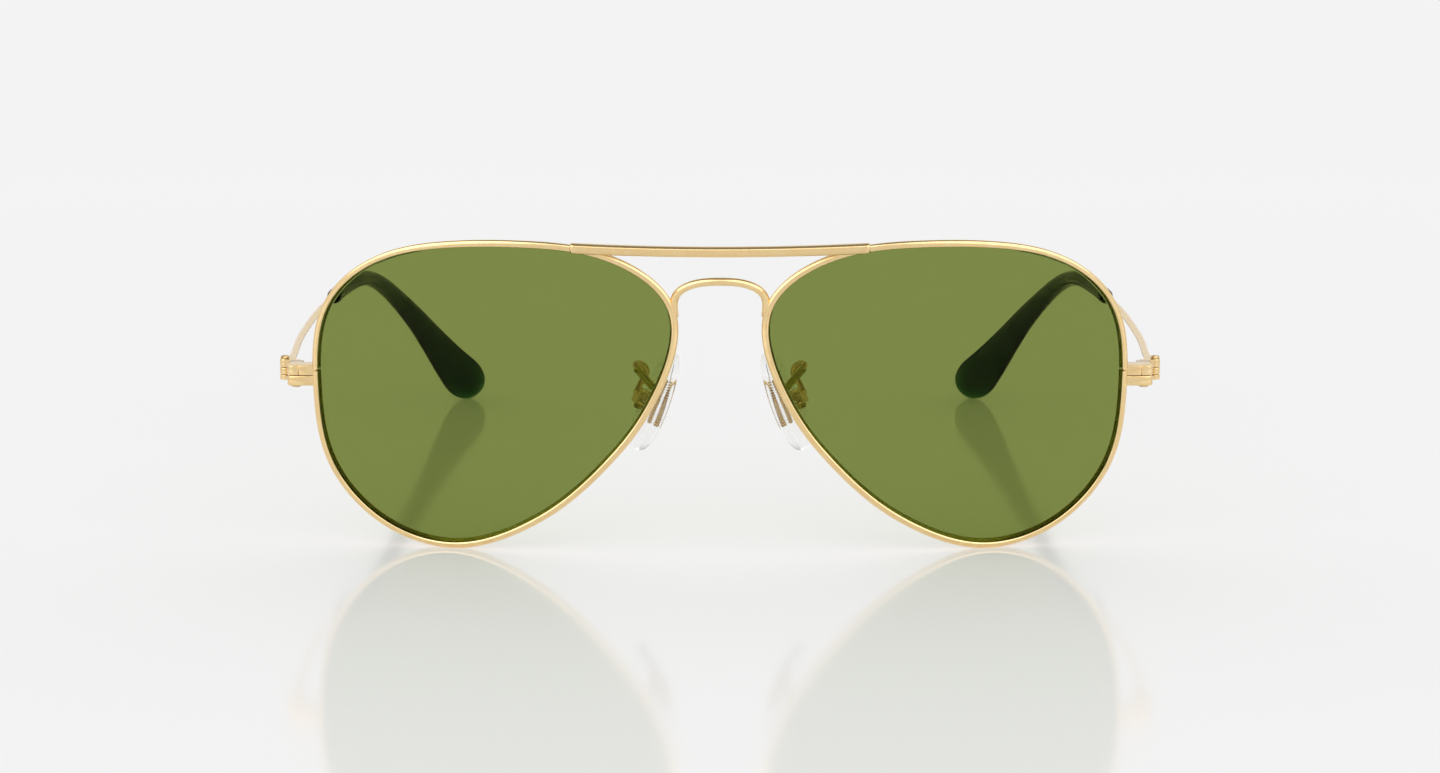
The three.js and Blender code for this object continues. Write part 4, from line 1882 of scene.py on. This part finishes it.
# ---------------------------------------- studio
@dataclass
class Studio:
    """Pale satin floor, an even pale surround that darkens overhead, soft lamps and the camera."""

    camera_y: float = -0.6582
    camera_z: float = 0.1389
    pitch: float = math.radians(10.648)
    lens_mm: float = 96.147
    floor_half: float = 12.0
    surround_level: float = 0.888
    lamp_spread: float = 1.1
    surround_stops: tuple[tuple[float, float], ...] = ((0.45, 1.0), (0.7, 0.72), (0.88, 0.34))
    top_level: float = 0.28

    def floor(self, wardrobe: Wardrobe) -> None:
        """Lays the floor.

        Args:
            wardrobe: The materials.
        """
        h = self.floor_half
        mesh = bpy.data.meshes.new("studio_floor")
        mesh.from_pydata([(-h, -h, 0), (h, -h, 0), (h, h, 0), (-h, h, 0)], [], [(0, 1, 2, 3)])
        mesh.materials.append(wardrobe.floor)
        placed("studio_floor", mesh)

    def surround(self) -> None:
        """Lights the world: bright at the height of the eye and dimmer overhead."""
        world = bpy.data.worlds.new("studio")
        bpy.context.scene.world = world
        world.use_nodes = True
        tree = world.node_tree
        tree.nodes.clear()
        where = add_node(tree, "ShaderNodeTexCoord")
        split = add_node(tree, "ShaderNodeSeparateXYZ", Vector=where.outputs["Generated"])
        ramp = add_node(tree, "ShaderNodeValToRGB", Fac=split.outputs["Z"])
        stops = ramp.color_ramp.elements
        stops[0].color = (1, 1, 1, 1)
        stops[1].color = (self.top_level, self.top_level, self.top_level, 1)
        for position, level in self.surround_stops:
            stops.new(position).color = (level, level, level, 1)
        sky = add_node(
            tree, "ShaderNodeBackground", Color=ramp.outputs["Color"], Strength=self.surround_level
        )
        add_node(tree, "ShaderNodeOutputWorld", Surface=sky.outputs["Background"])

    def lamp(self, name: str, place: Sequence[float], strength: float) -> None:
        """Hangs a soft distant lamp that looks at the sunglasses and throws no shadow.

        Args:
            name: Name of the lamp.
            place: Its direction from the sunglasses.
            strength: Light that it throws on a surface that faces it.
        """
        data = bpy.data.lights.new(name, "SUN")
        data.angle = self.lamp_spread
        data.energy = strength
        data.use_shadow = False
        lamp = bpy.data.objects.new(name, data)
        lamp.location = place
        lamp.rotation_euler = (-Vector(place)).to_track_quat("-Z", "Y").to_euler()
        bpy.context.scene.collection.objects.link(lamp)

    def camera(self) -> None:
        """Sets up the camera in front of the sunglasses, looking a little down."""
        data = bpy.data.cameras.new("camera")
        data.lens = self.lens_mm
        data.sensor_width = 36.0
        data.clip_start = 0.01
        camera = bpy.data.objects.new("camera", data)
        camera.location = (0, self.camera_y, self.camera_z)
        camera.rotation_euler = (math.pi / 2 - self.pitch, 0, 0)
        bpy.context.scene.collection.objects.link(camera)
        bpy.context.scene.camera = camera

    def set_up(self, wardrobe: Wardrobe) -> None:
        """Builds the whole studio.

        Args:
            wardrobe: The materials.
        """
        bpy.context.scene.view_settings.view_transform = "Standard"
        self.floor(wardrobe)
        self.surround()
        self.lamp("key lamp", (-2.2, -2.4, 2.6), 1.3)
        self.lamp("fill lamp", (2.2, -2.4, 2.6), 1.09)
        self.camera()


def main() -> None:
    """Builds the studio and every piece of the sunglasses."""
    logging.basicConfig(level=logging.INFO, format="%(name)s: %(message)s")
    wardrobe = Wardrobe()
    Studio().set_up(wardrobe)
    shop = Workshop(
        wardrobe,
        WireDrawer(wardrobe.worn[Slot.GOLD]),
        ScrewSetter(wardrobe.worn[Slot.SCREW]),
        Knurler(wardrobe.worn[Slot.INSERT]),
    )
    for side in Side:
        Rim(side).dress(shop)
        Lens(side).dress(shop)
    BrowBar().dress(shop)
    Bridge().dress(shop)
    for side in Side:
        EndPiece(side).dress(shop)
        Hinge(side).dress(shop)
        Temple(side).dress(shop)
    pads = [NosePad(side) for side in Side]
    for pad in pads:
        pad.dress(shop)
    Screws(pads).dress(shop)


if __name__ == "__main__":
    main()
